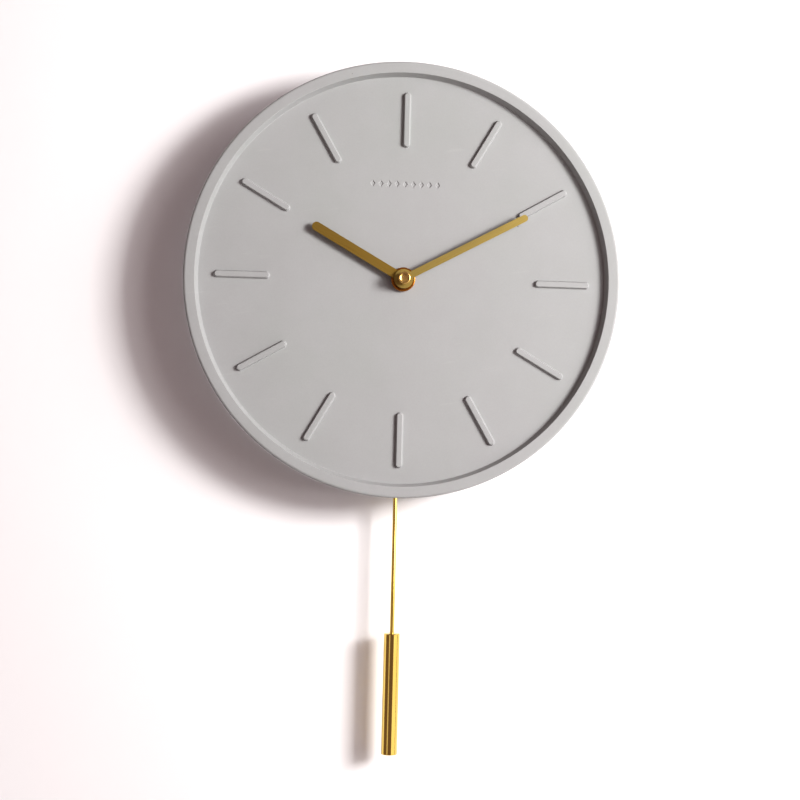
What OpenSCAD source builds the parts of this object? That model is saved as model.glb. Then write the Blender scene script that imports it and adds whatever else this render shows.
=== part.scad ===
// Pendulum wall clock: a cast concrete disc case with raised hour bars, brass hands,
// a battery quartz movement with its motor, wheel train and motion work, and a pendulum
// drive that carries a brass rod and bob.
// Frame: +Z up, the front faces -Y, the wall plane is y = 0. The origin is the centre of
// the keyhole's round hole in the hanger plate, in the wall plane.

/* [Case] */
// Outside diameter of the concrete case
case_d = 300; // [250:1:360]
// Depth of the case from the wall to the front rim
case_depth = 44; // [42:0.5:53]
// Width of the flat rim round the dial
rim_w = 8; // [6:0.5:12]
// Depth of the dial floor behind the rim
dial_sink = 6; // [4:0.5:8]
// Gap between the case's back edge and the wall, held by the pads and the hanger plate
back_gap = 0.8; // [0.5:0.1:1.2]
// Slope of the recess wall, measured across the dial
wall_draft = 1.6; // [1:0.1:4]
// Radius of the rim's outer front edge
rim_round = 1.8; // [0.8:0.1:3]
// Radius of the rim's inner front edge
lip_round = 0.5; // [0.4:0.1:1.5]
// Thickness of the case's side wall behind the dial
side_wall = 11; // [9:0.5:14]
// Thickness of the concrete behind the dial floor
dial_slab = 8; // [6:0.5:9]
// Distance from the keyhole up to the case's top edge
hang_edge = 32; // [30:1:36]

/* [Dial] */
// Number of hour bars
bar_count = 12; // [4:4:12]
// Length of an hour bar's top face
bar_len = 36.6; // [25:0.1:40]
// Width of an hour bar's top face
bar_w = 3.4; // [2:0.1:5]
// Height of an hour bar above the dial floor
bar_h = 2.5; // [1:0.1:3]
// Slope of an hour bar's sides, measured across the dial
bar_slope = 1.1; // [0.4:0.1:2]
// Gap between an hour bar's outer end and the recess wall
bar_gap = 11.7; // [6:0.1:14]
// Height of the ornament row above the dial centre
ornament_z = 66; // [50:1:75]
// Depth of the ornament's pressed marks
ornament_sink = 0.6; // [0.4:0.1:1]

/* [Hanging] */
// Diameter of the keyhole's round hole
keyhole_d = 9; // [8:0.1:10]
// Width of the keyhole's slot
keyhole_slot = 4.5; // [4:0.1:5]
// Thickness of the hanger plate
plate_t = 1.5; // [1.2:0.1:2.5]
// Distance between the hanger plate's two screws
plate_screws = 46; // [44:1:50]

/* [Hands] */
// Length of the hour hand from the centre
hour_len = 72.5; // [60:0.5:80]
// Width of the hour hand
hour_w = 6.2; // [4:0.1:8]
// Length of the minute hand from the centre
minute_len = 96; // [80:1:98]
// Width of the minute hand
minute_w = 4.8; // [3:0.1:7]
// Thickness of the hands
hand_t = 0.8; // [0.5:0.1:1]
// Time shown: angle of the minute hand, clockwise from twelve
minute_angle = 61.7; // [0:0.1:360]
// Time shown: angle of the hour hand, clockwise from twelve
hour_angle = 299.5; // [0:0.1:360]
// Diameter of the dial nut
nut_d = 16.5; // [14:0.1:18]
// Diameter of the hands' hubs
hub_d = 13.2; // [11:0.1:14]
// Diameter of the cap nut
cap_d = 8.3; // [7:0.1:10]
// Length of the cap nut
cap_len = 7; // [5:0.1:9]

/* [Movement] */
// Width of the movement housing
box_w = 60; // [58:1:66]
// Height of the clock part of the housing
box_h = 56; // [56:1:60]
// Depth of the movement housing
box_t = 18; // [18:0.1:22]
// Height of the pendulum bay below the clock part
bay_h = 62; // [58:1:70]
// Width of the pendulum bay
bay_w = 44; // [40:1:46]
// Wall thickness of the housing
box_wall = 1.6; // [1.2:0.1:2]
// Diameter of the threaded bushing through the dial
bushing_d = 8; // [8:0.1:10]
// Radial gap between turning pipes and arbors
run_gap = 0.05; // [0.03:0.01:0.1]
// Distance from the hand arbor to the minute wheel's arbor
motion_gap = 12; // [12:0.1:12.5]
// Diameter of the battery
battery_d = 14.4; // [12:0.1:14.5]
// Length of the battery without its button
battery_len = 49.2; // [48:0.1:49.5]
// Length of the battery's button
button_len = 1.2; // [1:0.1:1.3]

/* [Pendulum] */
// Distance from the housing's back face forwards to the pendulum's plane
swing_inset = 6.8; // [6:0.1:8]
// Height of the swing pivot below the dial centre
pivot_drop = 38; // [34:1:42]
// Largest swing to each side that the notch leaves room for, in degrees
swing_limit = 8; // [4:0.5:9]
// Diameter of the pendulum rod
rod_d = 3; // [2.5:0.1:4]
// Length of rod that shows between the case and the bob
rod_show = 94.5; // [60:0.5:120]
// Length of the bob
bob_len = 83.5; // [60:0.5:100]
// Diameter of the bob
bob_d = 11; // [8:0.5:14]
// Wall thickness of the bob's tube
bob_wall = 1; // [0.8:0.1:2]

/* [Hidden] */
$fn = 96;
FINE = 128;
SMALL = 32;
EPS = 0.01;

// Case, from the wall forwards
case_r = case_d / 2;
dial_y = -(case_depth - dial_sink);
slab_y = dial_y + dial_slab;
lip_r = case_r - rim_w;
floor_r = lip_r - wall_draft;
pocket_r = case_r - side_wall;
hang_drop = case_r - hang_edge;
bar_mid_r = floor_r - bar_gap - bar_len / 2;
bob_top = case_r + rod_show;
floor_round = 0.6;
back_round = 1;
arc_steps = 5;
bush_hole_gap = 0.6;
ornament_count = 9;
ornament_step = 5.6;
ornament_w = 3.6;
ornament_h = 5;
bumper_r = 7;
bumper_t = 2;
bumper_angle = 30;
bumper_ring = pocket_r - 8;
bumper_x = bumper_ring * sin(bumper_angle);
bumper_z = -bumper_ring * cos(bumper_angle);
bumper_boss = 2.5;

// Hanger plate
plate_w = plate_screws + 12;
plate_low = -9;
plate_high = 15;
boss_w = plate_w + 8;
boss_low = hang_drop + plate_low - 13;
slot_rise = 8;
head_room_w = 13;
head_room_depth = 9;
screw_r = 1.5;
screw_len = 9;
screw_head_r = 2.8;
sink_t = 1.2;
screw_z = 3;
fit_gap = 0.05;

// Notch for the swinging rod
notch_half = (case_r - pivot_drop) * tan(swing_limit + 1) + rod_d;
notch_y = slab_y;

// Movement, from the dial slab back
gasket_t = 0.8;
gasket_d = 40;
box_front = slab_y + gasket_t;
plate_in = box_front + 2;
box_back = box_front + box_t;
cover_t = 1.4;
box_x = box_w / 2;
box_z = box_h / 2;
bay_z = -box_z - bay_h;
cell_x = box_x - box_wall - battery_d / 2 - 0.3;
cell_wall_x = cell_x - battery_d / 2 - 0.3 - 1.2;
cell_y = plate_in + battery_d / 2 + 0.3;
bush_r = bushing_d / 2;
bush_bore = 2.5 + run_gap;
washer_t = 0.6;
nut_t = 2.8;
bush_end = dial_y - washer_t - nut_t - 0.5;
battery_low = box_z - box_wall - 0.45 - button_len - battery_len;
knob_hole_r = 1.6;

// Hands and pipes
hour_pipe_r = 2.5;
cannon_r = 1.7;
centre_r = 0.8;
hour_y = bush_end - 0.3 - hand_t;
hour_pipe_end = hour_y - 0.4;
minute_y = hour_pipe_end - 1 - hand_t;
cannon_end = minute_y - 3;
cap_back = minute_y;

// Wheel layers, front to back: each is the front face of a wheel
layer_t = 1;
layer_gap = 0.4;
function layer(i) = plate_in + 0.4 + i * (layer_t + layer_gap);
bridge_y = layer(6) + 1.8;
bridge_t = 1;
board_y = bridge_y + bridge_t + 1;
board_t = 0.8;
pivot_r = 0.5;
pivot_sink = 0.9;

// Teeth and arbors of the wheel train
hour_teeth = 40;
minute_pinion = 10;
minute_teeth = 36;
cannon_teeth = 12;
centre_teeth = 64;
third_teeth = 60;
second_teeth = 48;
inter_teeth = 40;
train_pinion = 8;
m_hour = 2 * motion_gap / (hour_teeth + minute_pinion);
m_minute = 2 * motion_gap / (minute_teeth + cannon_teeth);
m_centre = 0.30;
m_third = 0.26;
m_second = 0.24;
m_inter = 0.28;
function mesh_gap(m, z) = m * (z + train_pinion) / 2;
function polar(p, d, a) = [p[0] + d * cos(a), p[1] + d * sin(a)];
a_minute = 225;
a_third = 150;
a_second = 60;
a_inter = 130;
a_rotor = 200;
p_minute = polar([0, 0], motion_gap, a_minute);
p_third = polar([0, 0], mesh_gap(m_centre, centre_teeth), a_third);
p_second = polar(p_third, mesh_gap(m_third, third_teeth), a_second);
p_inter = polar(p_second, mesh_gap(m_second, second_teeth), a_inter);
p_rotor = polar(p_inter, mesh_gap(m_inter, inter_teeth), a_rotor);
magnet_r = 2.8;

// Posts that the bridge, the board and the cover stand on
train_posts = [[9, 22.5], [9, -22.5], [-17, -22.5]];
cover_posts = [[-26, 24], [-26, -24], [3, 24.2], [3, -24.2]];
post_r = 1.8;
small_screw_r = 0.7;
small_head_r = 1.5;
small_head_t = 0.8;

// Motor iron and winding
stator_y = layer(6) - 0.1;
stator_t = 0.8;
stator_x = [p_rotor[0] - 4.9, p_rotor[0] + 4.9];
stator_z = [-14, p_rotor[1] + 5.6];
leg_h = 3.2;
core_x = -24.3;
core_w = 3.6;
core_t = 0.8;
coil_r = 2.5;
coil_y = stator_y + stator_t + core_t / 2;

// Pendulum drive and pendulum
swing_y = box_back - swing_inset;
pivot_z = -pivot_drop;
arm_t = 4;
arm_w = 7;
arm_len = 46;
hook_z = pivot_z - arm_len;
pin_r = 1;
hook_r = 1.2;
magnet_drop = 28;
magnet_d = 8;
eye_r = 3.2;
eye_t = 1;
eye_y = swing_y + arm_t / 2 + 0.4;
drive_back = swing_y - arm_t / 2 - 0.8;
plug_len = 7;
bob_low = -(bob_top + bob_len);

CONCRETE = [0.72, 0.70, 0.68];
BRASS = [0.78, 0.62, 0.30];
STEEL = [0.70, 0.71, 0.73];
BLACK = [0.13, 0.13, 0.14];
NYLON = [0.90, 0.89, 0.84];

// Moves children from dial coordinates, where z = 0 is the dial centre, to the part's frame.
module at_dial() {
    translate([0, 0, -hang_drop])
        children();
}

// Stands an outline drawn in x and z on the plane y = y0 and gives it thickness t backwards.
module slab(y0, t) {
    translate([0, y0 + t, 0])
        rotate([90, 0, 0])
            linear_extrude(height = t)
                children();
}

// A round bar along y from y0 to y1, at p in x and z.
module rod_y(r, y0, y1, p = [0, 0], fn = 48) {
    translate([p[0], y1, p[1]])
        rotate([90, 0, 0])
            cylinder(r = r, h = y1 - y0, $fn = fn);
}

// Turns a profile of [radius, height] round the y axis, with its height towards the front.
module turned(points) {
    rotate([90, 0, 0])
        rotate_extrude($fn = FINE)
            polygon(points);
}

// Points of an arc, from angle a0 to a1.
function arc(c, r, a0, a1) =
    [for (i = [0 : arc_steps]) let (a = a0 + (a1 - a0) * i / arc_steps)
        [c[0] + r * cos(a), c[1] + r * sin(a)]];

// An outline with round ends, centred, of length l and width w along its second axis.
module stadium(l, w) {
    square([w, l - w], center = true);
    for (s = [-1, 1])
        translate([0, s * (l - w) / 2])
            circle(d = w, $fn = SMALL);
}

// One tooth's outline: straight sides below the pitch circle and a rounded tip above it.
function tooth(z, m, share, addendum, dedendum) =
    let (rp = z * m / 2, h = share * 90 / z, n = 3)
    concat(
        [[-h, rp - dedendum * m]],
        [for (i = [0 : n]) [-h * cos(90 * i / n), rp + addendum * m * sin(90 * i / n)]],
        [for (i = [n - 1 : -1 : 0]) [h * cos(90 * i / n), rp + addendum * m * sin(90 * i / n)]],
        [[h, rp - dedendum * m]]
    );

// Outline of a whole wheel, with tooth 0 at the angle turn, measured anticlockwise from +x.
module teeth(z, m, turn, share, addendum, dedendum) {
    polygon([
        for (i = [0 : z - 1])
            for (p = tooth(z, m, share, addendum, dedendum))
                let (a = turn + 360 * i / z + p[0])
                    [p[1] * cos(a), p[1] * sin(a)]
    ]);
}

module wheel_outline(z, m, turn) {
    teeth(z, m, turn, 0.8, 0.9, 1.2);
}

module pinion_outline(z, m, turn) {
    teeth(z, m, turn, 0.7, 0.7, 1.3);
}

// A light wheel web: round windows between the hub and the rim.
module windows(n, ring_r, hole_r) {
    for (i = [0 : n - 1])
        rotate(360 * i / n)
            translate([ring_r, 0])
                circle(r = hole_r, $fn = SMALL);
}

// Angle that puts a tooth space of a pinion with z teeth towards the direction a.
function space_at(z, a) = a + 180 / z;

// ---------- Case ----------

module case_profile() {
    polygon(concat(
        [[0, -slab_y]],
        [[pocket_r, -slab_y], [pocket_r, back_gap]],
        arc([case_r - back_round, back_gap + back_round], back_round, -90, 0),
        arc([case_r - rim_round, case_depth - rim_round], rim_round, 0, 90),
        arc([lip_r + lip_round, case_depth - lip_round], lip_round, 90, 180),
        arc([floor_r - floor_round, -dial_y + floor_round], floor_round, 0, -90),
        [[0, -dial_y]]
    ));
}

module hour_bar() {
    foot = 0.4;
    run = bar_slope * (bar_h + foot) / bar_h;
    w = bar_w + 2 * run;
    l = bar_len + 2 * run;
    translate([0, dial_y + foot, bar_mid_r])
        rotate([90, 0, 0])
            linear_extrude(height = bar_h + foot, scale = [bar_w / w, bar_len / l], slices = 1)
                stadium(l, w);
}

module ornament() {
    for (i = [0 : ornament_count - 1])
        translate([(i - (ornament_count - 1) / 2) * ornament_step, ornament_z])
            polygon([[0, ornament_h / 2], [ornament_w / 2, 0], [0, -ornament_h / 2], [-ornament_w / 2, 0]]);
}

module screw_holes(y0, y1) {
    for (s = [-1, 1])
        rod_y(screw_r + fit_gap, y0, y1, [s * plate_screws / 2, screw_z]);
}

module case() {
    color(CONCRETE) {
        difference() {
            union() {
                at_dial() {
                    rotate([90, 0, 0])
                        rotate_extrude($fn = FINE)
                            case_profile();
                    // Hanger boss across the top of the rear pocket
                    slab(slab_y - EPS, -slab_y - back_gap + EPS)
                        intersection() {
                            circle(r = pocket_r + 1, $fn = FINE);
                            translate([-boss_w / 2, boss_low])
                                square([boss_w, case_r]);
                        }
                    for (i = [0 : bar_count - 1])
                        rotate([0, 360 * i / bar_count, 0])
                            hour_bar();
                }
                for (s = [-1, 1])
                    at_dial()
                        rod_y(bumper_r + bumper_boss, slab_y - EPS, -back_gap, [s * bumper_x, bumper_z]);
            }
            at_dial() {
                rod_y(bush_r + bush_hole_gap, dial_y - 1, slab_y + 1);
                slab(dial_y - 1, 1 + ornament_sink)
                    ornament();
                // Notch for the rod, open to the rear
                translate([-notch_half, notch_y, -case_r - 1])
                    cube([2 * notch_half, -notch_y + 1, side_wall + 8]);
                for (s = [-1, 1])
                    rod_y(bumper_r + fit_gap, -bumper_t, 1, [s * bumper_x, bumper_z]);
            }
            // Seat of the hanger plate, room for the wall screw's head, and screw holes
            slab(-plate_t, plate_t + 1)
                translate([-plate_w / 2 - fit_gap, plate_low - fit_gap])
                    square([plate_w + 2 * fit_gap, plate_high - plate_low + 2 * fit_gap]);
            slab(-plate_t - head_room_depth, head_room_depth + 1)
                translate([-head_room_w / 2, plate_low + 2])
                    square([head_room_w, plate_high - plate_low - 4]);
            screw_holes(-plate_t - screw_len, 0);
        }
    }
}

module hanger_plate() {
    color(STEEL)
        difference() {
            slab(-plate_t, plate_t) difference() {
                translate([-plate_w / 2, plate_low])
                    square([plate_w, plate_high - plate_low]);
                circle(d = keyhole_d, $fn = FINE);
                translate([-keyhole_slot / 2, 0])
                    square([keyhole_slot, slot_rise]);
                translate([0, slot_rise])
                    circle(d = keyhole_slot, $fn = 48);
                for (s = [-1, 1])
                    translate([s * plate_screws / 2, screw_z])
                        circle(r = screw_r + fit_gap, $fn = SMALL);
            }
            // Countersinks that take the screw heads below the plate's face
            for (s = [-1, 1])
                translate([s * plate_screws / 2, 0, screw_z])
                    rotate([90, 0, 0])
                        cylinder(r1 = screw_head_r + fit_gap, r2 = screw_r + fit_gap, h = sink_t, $fn = 48);
        }
}

module hanger_screws() {
    color(STEEL)
        for (s = [-1, 1])
            translate([s * plate_screws / 2, 0, screw_z]) {
                difference() {
                    union() {
                        rod_y(screw_r, -plate_t - screw_len + 0.5, -sink_t);
                        rotate([90, 0, 0])
                            cylinder(r1 = screw_head_r, r2 = screw_r, h = sink_t, $fn = 48);
                    }
                    slab(-0.7, 1)
                        square([3.2, 0.7], center = true);
                    slab(-0.7, 1)
                        square([0.7, 3.2], center = true);
                }
            }
}

module wall_bumpers() {
    color(BLACK)
        at_dial()
            for (s = [-1, 1])
                translate([s * bumper_x, 0, bumper_z])
                    rotate([90, 0, 0])
                        rotate_extrude($fn = 64)
                            polygon(concat(
                                [[0, bumper_t], [bumper_r, bumper_t]],
                                arc([bumper_r - 0.6, 0.6], 0.6, 0, -90),
                                [[0, 0]]
                            ));
}

// ---------- Movement housing ----------

module rubber_gasket() {
    color(BLACK)
        at_dial()
            slab(slab_y, gasket_t)
                difference() {
                    circle(d = gasket_d, $fn = FINE);
                    circle(r = bush_r + fit_gap, $fn = 64);
                }
}

// Inside of the clock part of the housing, left of the battery wall
module train_room() {
    translate([-box_x + box_wall, -box_z + box_wall])
        square([box_x - box_wall + cell_wall_x, box_h - 2 * box_wall]);
}

module cell_room() {
    translate([cell_wall_x + 1.2, -box_z + box_wall])
        square([box_x - box_wall - cell_wall_x - 1.2, box_h - 2 * box_wall]);
}

module movement_housing() {
    color(BLACK)
        at_dial()
            difference() {
                union() {
                    difference() {
                        union() {
                            slab(box_front, box_t)
                                translate([-box_x, -box_z])
                                    square([box_w, box_h]);
                            slab(box_front, box_t)
                                translate([-bay_w / 2, bay_z])
                                    square([bay_w, bay_h + EPS]);
                            rod_y(bush_r, bush_end, box_front + EPS);
                        }
                        slab(plate_in, box_t)
                            train_room();
                        slab(plate_in, box_t)
                            cell_room();
                        // Pendulum bay: open behind and below
                        slab(plate_in, box_t)
                            translate([-bay_w / 2 + box_wall, bay_z - 1])
                                square([bay_w - 2 * box_wall, bay_h + 1 - box_wall]);
                    }
                    for (p = train_posts)
                        rod_y(post_r, plate_in - EPS, bridge_y, p);
                    for (p = cover_posts)
                        rod_y(post_r, plate_in - EPS, box_back, p);
                    // Two ears that carry the swing pin
                    for (y0 = [plate_in - EPS, swing_y + arm_t / 2 + 0.5])
                        slab(y0, y0 < swing_y ? swing_y - arm_t / 2 - 0.5 - y0 : 2.4)
                            translate([-5, pivot_z - 5])
                                square([10, -box_z - pivot_z + 5 + EPS]);
                }
                rod_y(bush_bore, bush_end - 1, plate_in + 1);
                for (p = [p_minute, p_third, p_second, p_inter, p_rotor])
                    rod_y(pivot_r + run_gap, plate_in - pivot_sink, plate_in + 1, p, SMALL);
                for (p = train_posts)
                    rod_y(small_screw_r + fit_gap, bridge_y - 5, bridge_y + 1, p, SMALL);
                for (p = cover_posts)
                    rod_y(small_screw_r + fit_gap, box_back - 6, box_back + 1, p, SMALL);
                rod_y(pin_r + fit_gap, plate_in - EPS, 0, [0, pivot_z]);
            }
}

module movement_cover() {
    color(BLACK)
        at_dial()
            difference() {
                union() {
                    slab(box_back, cover_t)
                        translate([-box_x, -box_z])
                            square([box_x + cell_wall_x + 1.2, box_h]);
                    // Raised ring round the setting knob
                    slab(box_back + cover_t - EPS, 0.6)
                        translate(p_minute)
                            difference() {
                                circle(r = 7.4, $fn = 64);
                                circle(r = 6.4, $fn = 64);
                            }
                }
                rod_y(knob_hole_r, box_back - 1, 0, p_minute);
                for (p = cover_posts)
                    rod_y(small_screw_r + fit_gap, box_back - 1, 0, p, SMALL);
            }
}

// A pan head screw with a cross slot: the head's seat is at y0, the shank runs forwards.
module small_screw(y0, len, p) {
    rod_y(small_screw_r, y0 - len, y0 + EPS, p, SMALL);
    difference() {
        rod_y(small_head_r, y0, y0 + small_head_t, p, SMALL);
        translate([p[0], 0, p[1]]) {
            slab(y0 + 0.4, 1)
                square([2, 0.4], center = true);
            slab(y0 + 0.4, 1)
                square([0.4, 2], center = true);
        }
    }
}

module cover_screws() {
    color(STEEL)
        at_dial()
            for (p = cover_posts)
                small_screw(box_back + cover_t, 6, p);
}

module train_bridge() {
    color(NYLON)
        at_dial()
            difference() {
                union() {
                    slab(bridge_y, bridge_t)
                        translate([stator_x[0], -box_z + box_wall + 0.3])
                            square([cell_wall_x - 0.3 - stator_x[0], box_h - 2 * box_wall - 0.6]);
                    for (p = train_posts)
                        rod_y(post_r, bridge_y, board_y, p);
                }
                for (p = [[0, 0], p_third, p_second, p_inter, p_rotor])
                    rod_y(pivot_r + run_gap, bridge_y - 1, bridge_y + bridge_t + 0.5, p, SMALL);
                rod_y(1.3, bridge_y - 1, bridge_y + bridge_t + 0.5, p_minute);
                for (p = train_posts)
                    rod_y(small_screw_r + fit_gap, bridge_y - 1, board_y + 1, p, SMALL);
                for (p = cover_posts)
                    rod_y(post_r + 0.3, bridge_y - 1, board_y, p);
            }
}

module train_screws() {
    color(STEEL)
        at_dial()
            for (p = train_posts)
                small_screw(board_y + board_t, board_y + board_t - bridge_y + 4, p);
}

module circuit_board() {
    color([0.10, 0.36, 0.20])
        at_dial()
            difference() {
                slab(board_y, board_t)
                    translate([-box_x + box_wall + 0.4, -box_z + box_wall + 0.3])
                        square([box_x - box_wall - 0.7 + cell_wall_x, box_h - 2 * box_wall - 0.6]);
                rod_y(1.6, board_y - 1, board_y + 2, p_minute);
                for (p = train_posts)
                    rod_y(small_screw_r + fit_gap, board_y - 1, board_y + 2, p, SMALL);
                // Notches round the cover posts, open to the board's edge
                for (p = cover_posts) {
                    c = post_r + 0.3;
                    left = p[0] < 0 ? -box_x : p[0] - c;
                    translate([left, board_y - 1, p[1] > 0 ? p[1] - c : -box_z])
                        cube([p[0] + c - left, 3, box_z - abs(p[1]) + c]);
                }
            }
}

module quartz_crystal() {
    color(STEEL)
        at_dial() {
            translate([-13, board_y + board_t + 1, 14])
                rotate([0, 90, 0])
                    cylinder(r = 1, h = 6.2, $fn = 48);
            for (s = [-1, 1])
                translate([-7, board_y + board_t, 14 + s * 0.5 - 0.15])
                    cube([2, 0.3, 0.3]);
            translate([-7 - 0.2, board_y + board_t, 13.2])
                cube([0.4, 1, 1.6]);
        }
}

module clock_chip() {
    color(BLACK)
        at_dial() {
            translate([-4, board_y + board_t, 2])
                cube([5, 1.2, 6]);
            for (s = [-1, 1])
                for (i = [0 : 3])
                    translate([-1.5 + s * 3.1 - 0.6, board_y + board_t, 2.7 + i * 1.4])
                        cube([1.2, 0.3, 0.4]);
        }
}

// ---------- Battery and contacts ----------

module contact(z0, dir) {
    at_dial() {
        translate([cell_x - 5, cell_y - 5, dir > 0 ? z0 - 0.4 : z0])
            cube([10, 10, 0.4]);
        // Tail that runs over the wall's edge towards the board
        translate([cell_wall_x + 1.25, cell_y - 1.5, dir > 0 ? z0 - 0.4 : z0])
            cube([cell_x - 5 - cell_wall_x - 1.25 + EPS, 3, 0.4]);
    }
}

module contact_plus() {
    color(STEEL)
        contact(box_z - box_wall, 1);
}

module contact_minus() {
    spring_h = 1;
    color(STEEL) {
        contact(-box_z + box_wall, -1);
        at_dial()
            translate([cell_x, cell_y, -box_z + box_wall + 0.4 - EPS])
                difference() {
                    cylinder(r1 = 4.4, r2 = 2.6, h = spring_h, $fn = 64);
                    cylinder(r1 = 3.6, r2 = 1.8, h = spring_h, $fn = 64);
                }
    }
}

module battery() {
    color([0.25, 0.27, 0.30])
        at_dial()
            translate([cell_x, cell_y, battery_low])
                rotate_extrude($fn = 96)
                    polygon(concat(
                        [[0, 0]],
                        arc([battery_d / 2 - 0.5, 0.5], 0.5, -90, 0),
                        arc([battery_d / 2 - 0.5, battery_len - 0.5], 0.5, 0, 90),
                        [[0, battery_len]]
                    ));
}

module battery_button() {
    color(STEEL)
        at_dial()
            translate([cell_x, cell_y, battery_low + battery_len])
                cylinder(r = 2.7, h = button_len, $fn = 48);
}

// ---------- Fixing through the dial ----------

module dial_washer() {
    color(BRASS)
        at_dial()
            slab(dial_y - washer_t, washer_t)
                difference() {
                    circle(d = nut_d - 0.6, $fn = FINE);
                    circle(r = bush_r + fit_gap, $fn = 64);
                }
}

module dial_nut() {
    h = nut_t;
    e = 0.4;
    color(BRASS)
        at_dial()
            translate([0, dial_y - washer_t, 0])
                turned(concat(
                    [[bush_r + 0.03, 0], [nut_d / 2 - e, 0], [nut_d / 2, e]],
                    arc([nut_d / 2 - e, h - e], e, 0, 90),
                    [[bush_r + 0.03, h]]
                ));
}

// ---------- Hands ----------

// A straight hand of sheet brass with a round tip and a round hub.
module hand_outline(len, w, hub, bore, angle) {
    difference() {
        union() {
            rotate(-angle) {
                translate([-w / 2, 0])
                    square([w, len - w / 2]);
                translate([0, len - w / 2])
                    circle(d = w, $fn = 48);
            }
            circle(d = hub, $fn = FINE);
        }
        circle(r = bore, $fn = 64);
    }
}

module hour_hand() {
    color(BRASS)
        at_dial() {
            slab(hour_y, hand_t)
                hand_outline(hour_len, hour_w, hub_d, hour_pipe_r + 0.01, hour_angle);
        }
}

module minute_hand() {
    color(BRASS)
        at_dial() {
            slab(minute_y, hand_t)
                hand_outline(minute_len, minute_w, hub_d, cannon_r + 0.01, minute_angle);
        }
}

module cap_nut() {
    e = 0.45;
    color(BRASS)
        at_dial()
            translate([0, cap_back, 0])
                turned(concat(
                    [[cannon_r + 0.03, 0], [cap_d / 2, 0]],
                    arc([cap_d / 2 - e, cap_len - e], e, 0, 90),
                    [[0, cap_len], [0, 3.4], [cannon_r + 0.03, 3.4]]
                ));
}

// ---------- Motion work ----------

module hour_wheel() {
    turn = space_at(hour_teeth, a_minute);
    color(NYLON)
        at_dial()
            difference() {
                union() {
                    slab(layer(0), layer_t)
                        wheel_outline(hour_teeth, m_hour, turn);
                    rod_y(hour_pipe_r, hour_pipe_end, layer(0) + EPS);
                }
                rod_y(cannon_r + run_gap, hour_pipe_end - 1, layer(1));
            }
}

module cannon_pinion() {
    turn = space_at(cannon_teeth, a_minute);
    color(NYLON)
        at_dial()
            difference() {
                union() {
                    slab(layer(1), layer_t)
                        pinion_outline(cannon_teeth, m_minute, turn);
                    rod_y(cannon_r, cannon_end, layer(1) + EPS);
                }
                rod_y(centre_r + run_gap, cannon_end + 2.5, layer(2));
            }
}

module minute_wheel() {
    back = a_minute + 180;
    color(NYLON)
        at_dial() {
            translate([p_minute[0], 0, p_minute[1]]) {
                slab(layer(1), layer_t)
                    difference() {
                        wheel_outline(minute_teeth, m_minute, back);
                        windows(5, 5.2, 1.7);
                    }
                slab(layer(0), layer_t + layer_gap)
                    pinion_outline(minute_pinion, m_hour, back);
                rod_y(pivot_r, plate_in - pivot_sink + 0.1, layer(0) + EPS);
                rod_y(1.2, layer(1), box_back + cover_t + 0.8);
                // Square drive for the setting knob
                slab(box_back + cover_t + 0.8 - EPS, 1.6)
                    square(1.4, center = true);
            }
        }
}

module setting_knob() {
    knob_y = box_back + cover_t + 0.8;
    ribs = 16;
    color(NYLON)
        at_dial()
            translate([p_minute[0], 0, p_minute[1]])
                difference() {
                    slab(knob_y, 3.4)
                        difference() {
                            circle(r = 5, $fn = 64);
                            for (i = [0 : ribs - 1])
                                rotate(360 * i / ribs)
                                    translate([5.15, 0])
                                        circle(r = 0.45, $fn = 16);
                        }
                    slab(knob_y - 1, 2.7)
                        square(1.42, center = true);
                    // Arrow pressed in the knob's face
                    slab(knob_y + 3, 1)
                        polygon([[-1.6, -1], [1.6, -1], [0, 2.4]]);
                }
}

// ---------- Going train ----------

// A wheel on its arbor with the pinion that drives it or that it drives.
module train_wheel(p, wheel_layer, z, m, turn, pinion_layer, pm, pturn, spokes) {
    rp = z * m / 2;
    translate([p[0], 0, p[1]]) {
        slab(layer(wheel_layer), layer_t)
            difference() {
                wheel_outline(z, m, turn);
                windows(spokes, rp * 0.58, rp * 0.2);
            }
        slab(min(layer(pinion_layer), layer(wheel_layer)), layer_t + layer_gap + EPS)
            pinion_outline(train_pinion, pm, pturn);
        rod_y(pivot_r, plate_in - pivot_sink + 0.1, bridge_y + bridge_t - 0.1, [0, 0], SMALL);
    }
}

module centre_wheel() {
    color(NYLON)
        at_dial() {
            slab(layer(2), layer_t)
                difference() {
                    wheel_outline(centre_teeth, m_centre, a_third);
                    windows(5, 5.4, 1.8);
                }
            rod_y(centre_r, cannon_end + 2.7, layer(2) + EPS, [0, 0], SMALL);
            rod_y(pivot_r, layer(2), bridge_y + bridge_t - 0.1, [0, 0], SMALL);
        }
}

module third_wheel() {
    color(NYLON)
        at_dial()
            train_wheel(p_third, 3, third_teeth, m_third, a_second,
                2, m_centre, space_at(train_pinion, a_third + 180), 5);
}

module seconds_wheel() {
    color(NYLON)
        at_dial()
            train_wheel(p_second, 4, second_teeth, m_second, a_inter,
                3, m_third, space_at(train_pinion, a_second + 180), 4);
}

module intermediate_wheel() {
    color(NYLON)
        at_dial()
            train_wheel(p_inter, 5, inter_teeth, m_inter, a_rotor,
                4, m_second, space_at(train_pinion, a_inter + 180), 4);
}

module rotor_pinion() {
    color(NYLON)
        at_dial()
            translate([p_rotor[0], 0, p_rotor[1]]) {
                slab(layer(5), layer_t)
                    pinion_outline(train_pinion, m_inter, space_at(train_pinion, a_rotor + 180));
                rod_y(pivot_r, plate_in - pivot_sink + 0.1, bridge_y + bridge_t - 0.1, [0, 0], SMALL);
            }
}

module rotor_magnet() {
    color(STEEL)
        at_dial()
            translate([p_rotor[0], 0, p_rotor[1]])
                slab(stator_y - 0.1, stator_t + 0.6)
                    difference() {
                        circle(r = magnet_r, $fn = 64);
                        circle(r = pivot_r + 0.01, $fn = SMALL);
                    }
}

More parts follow.
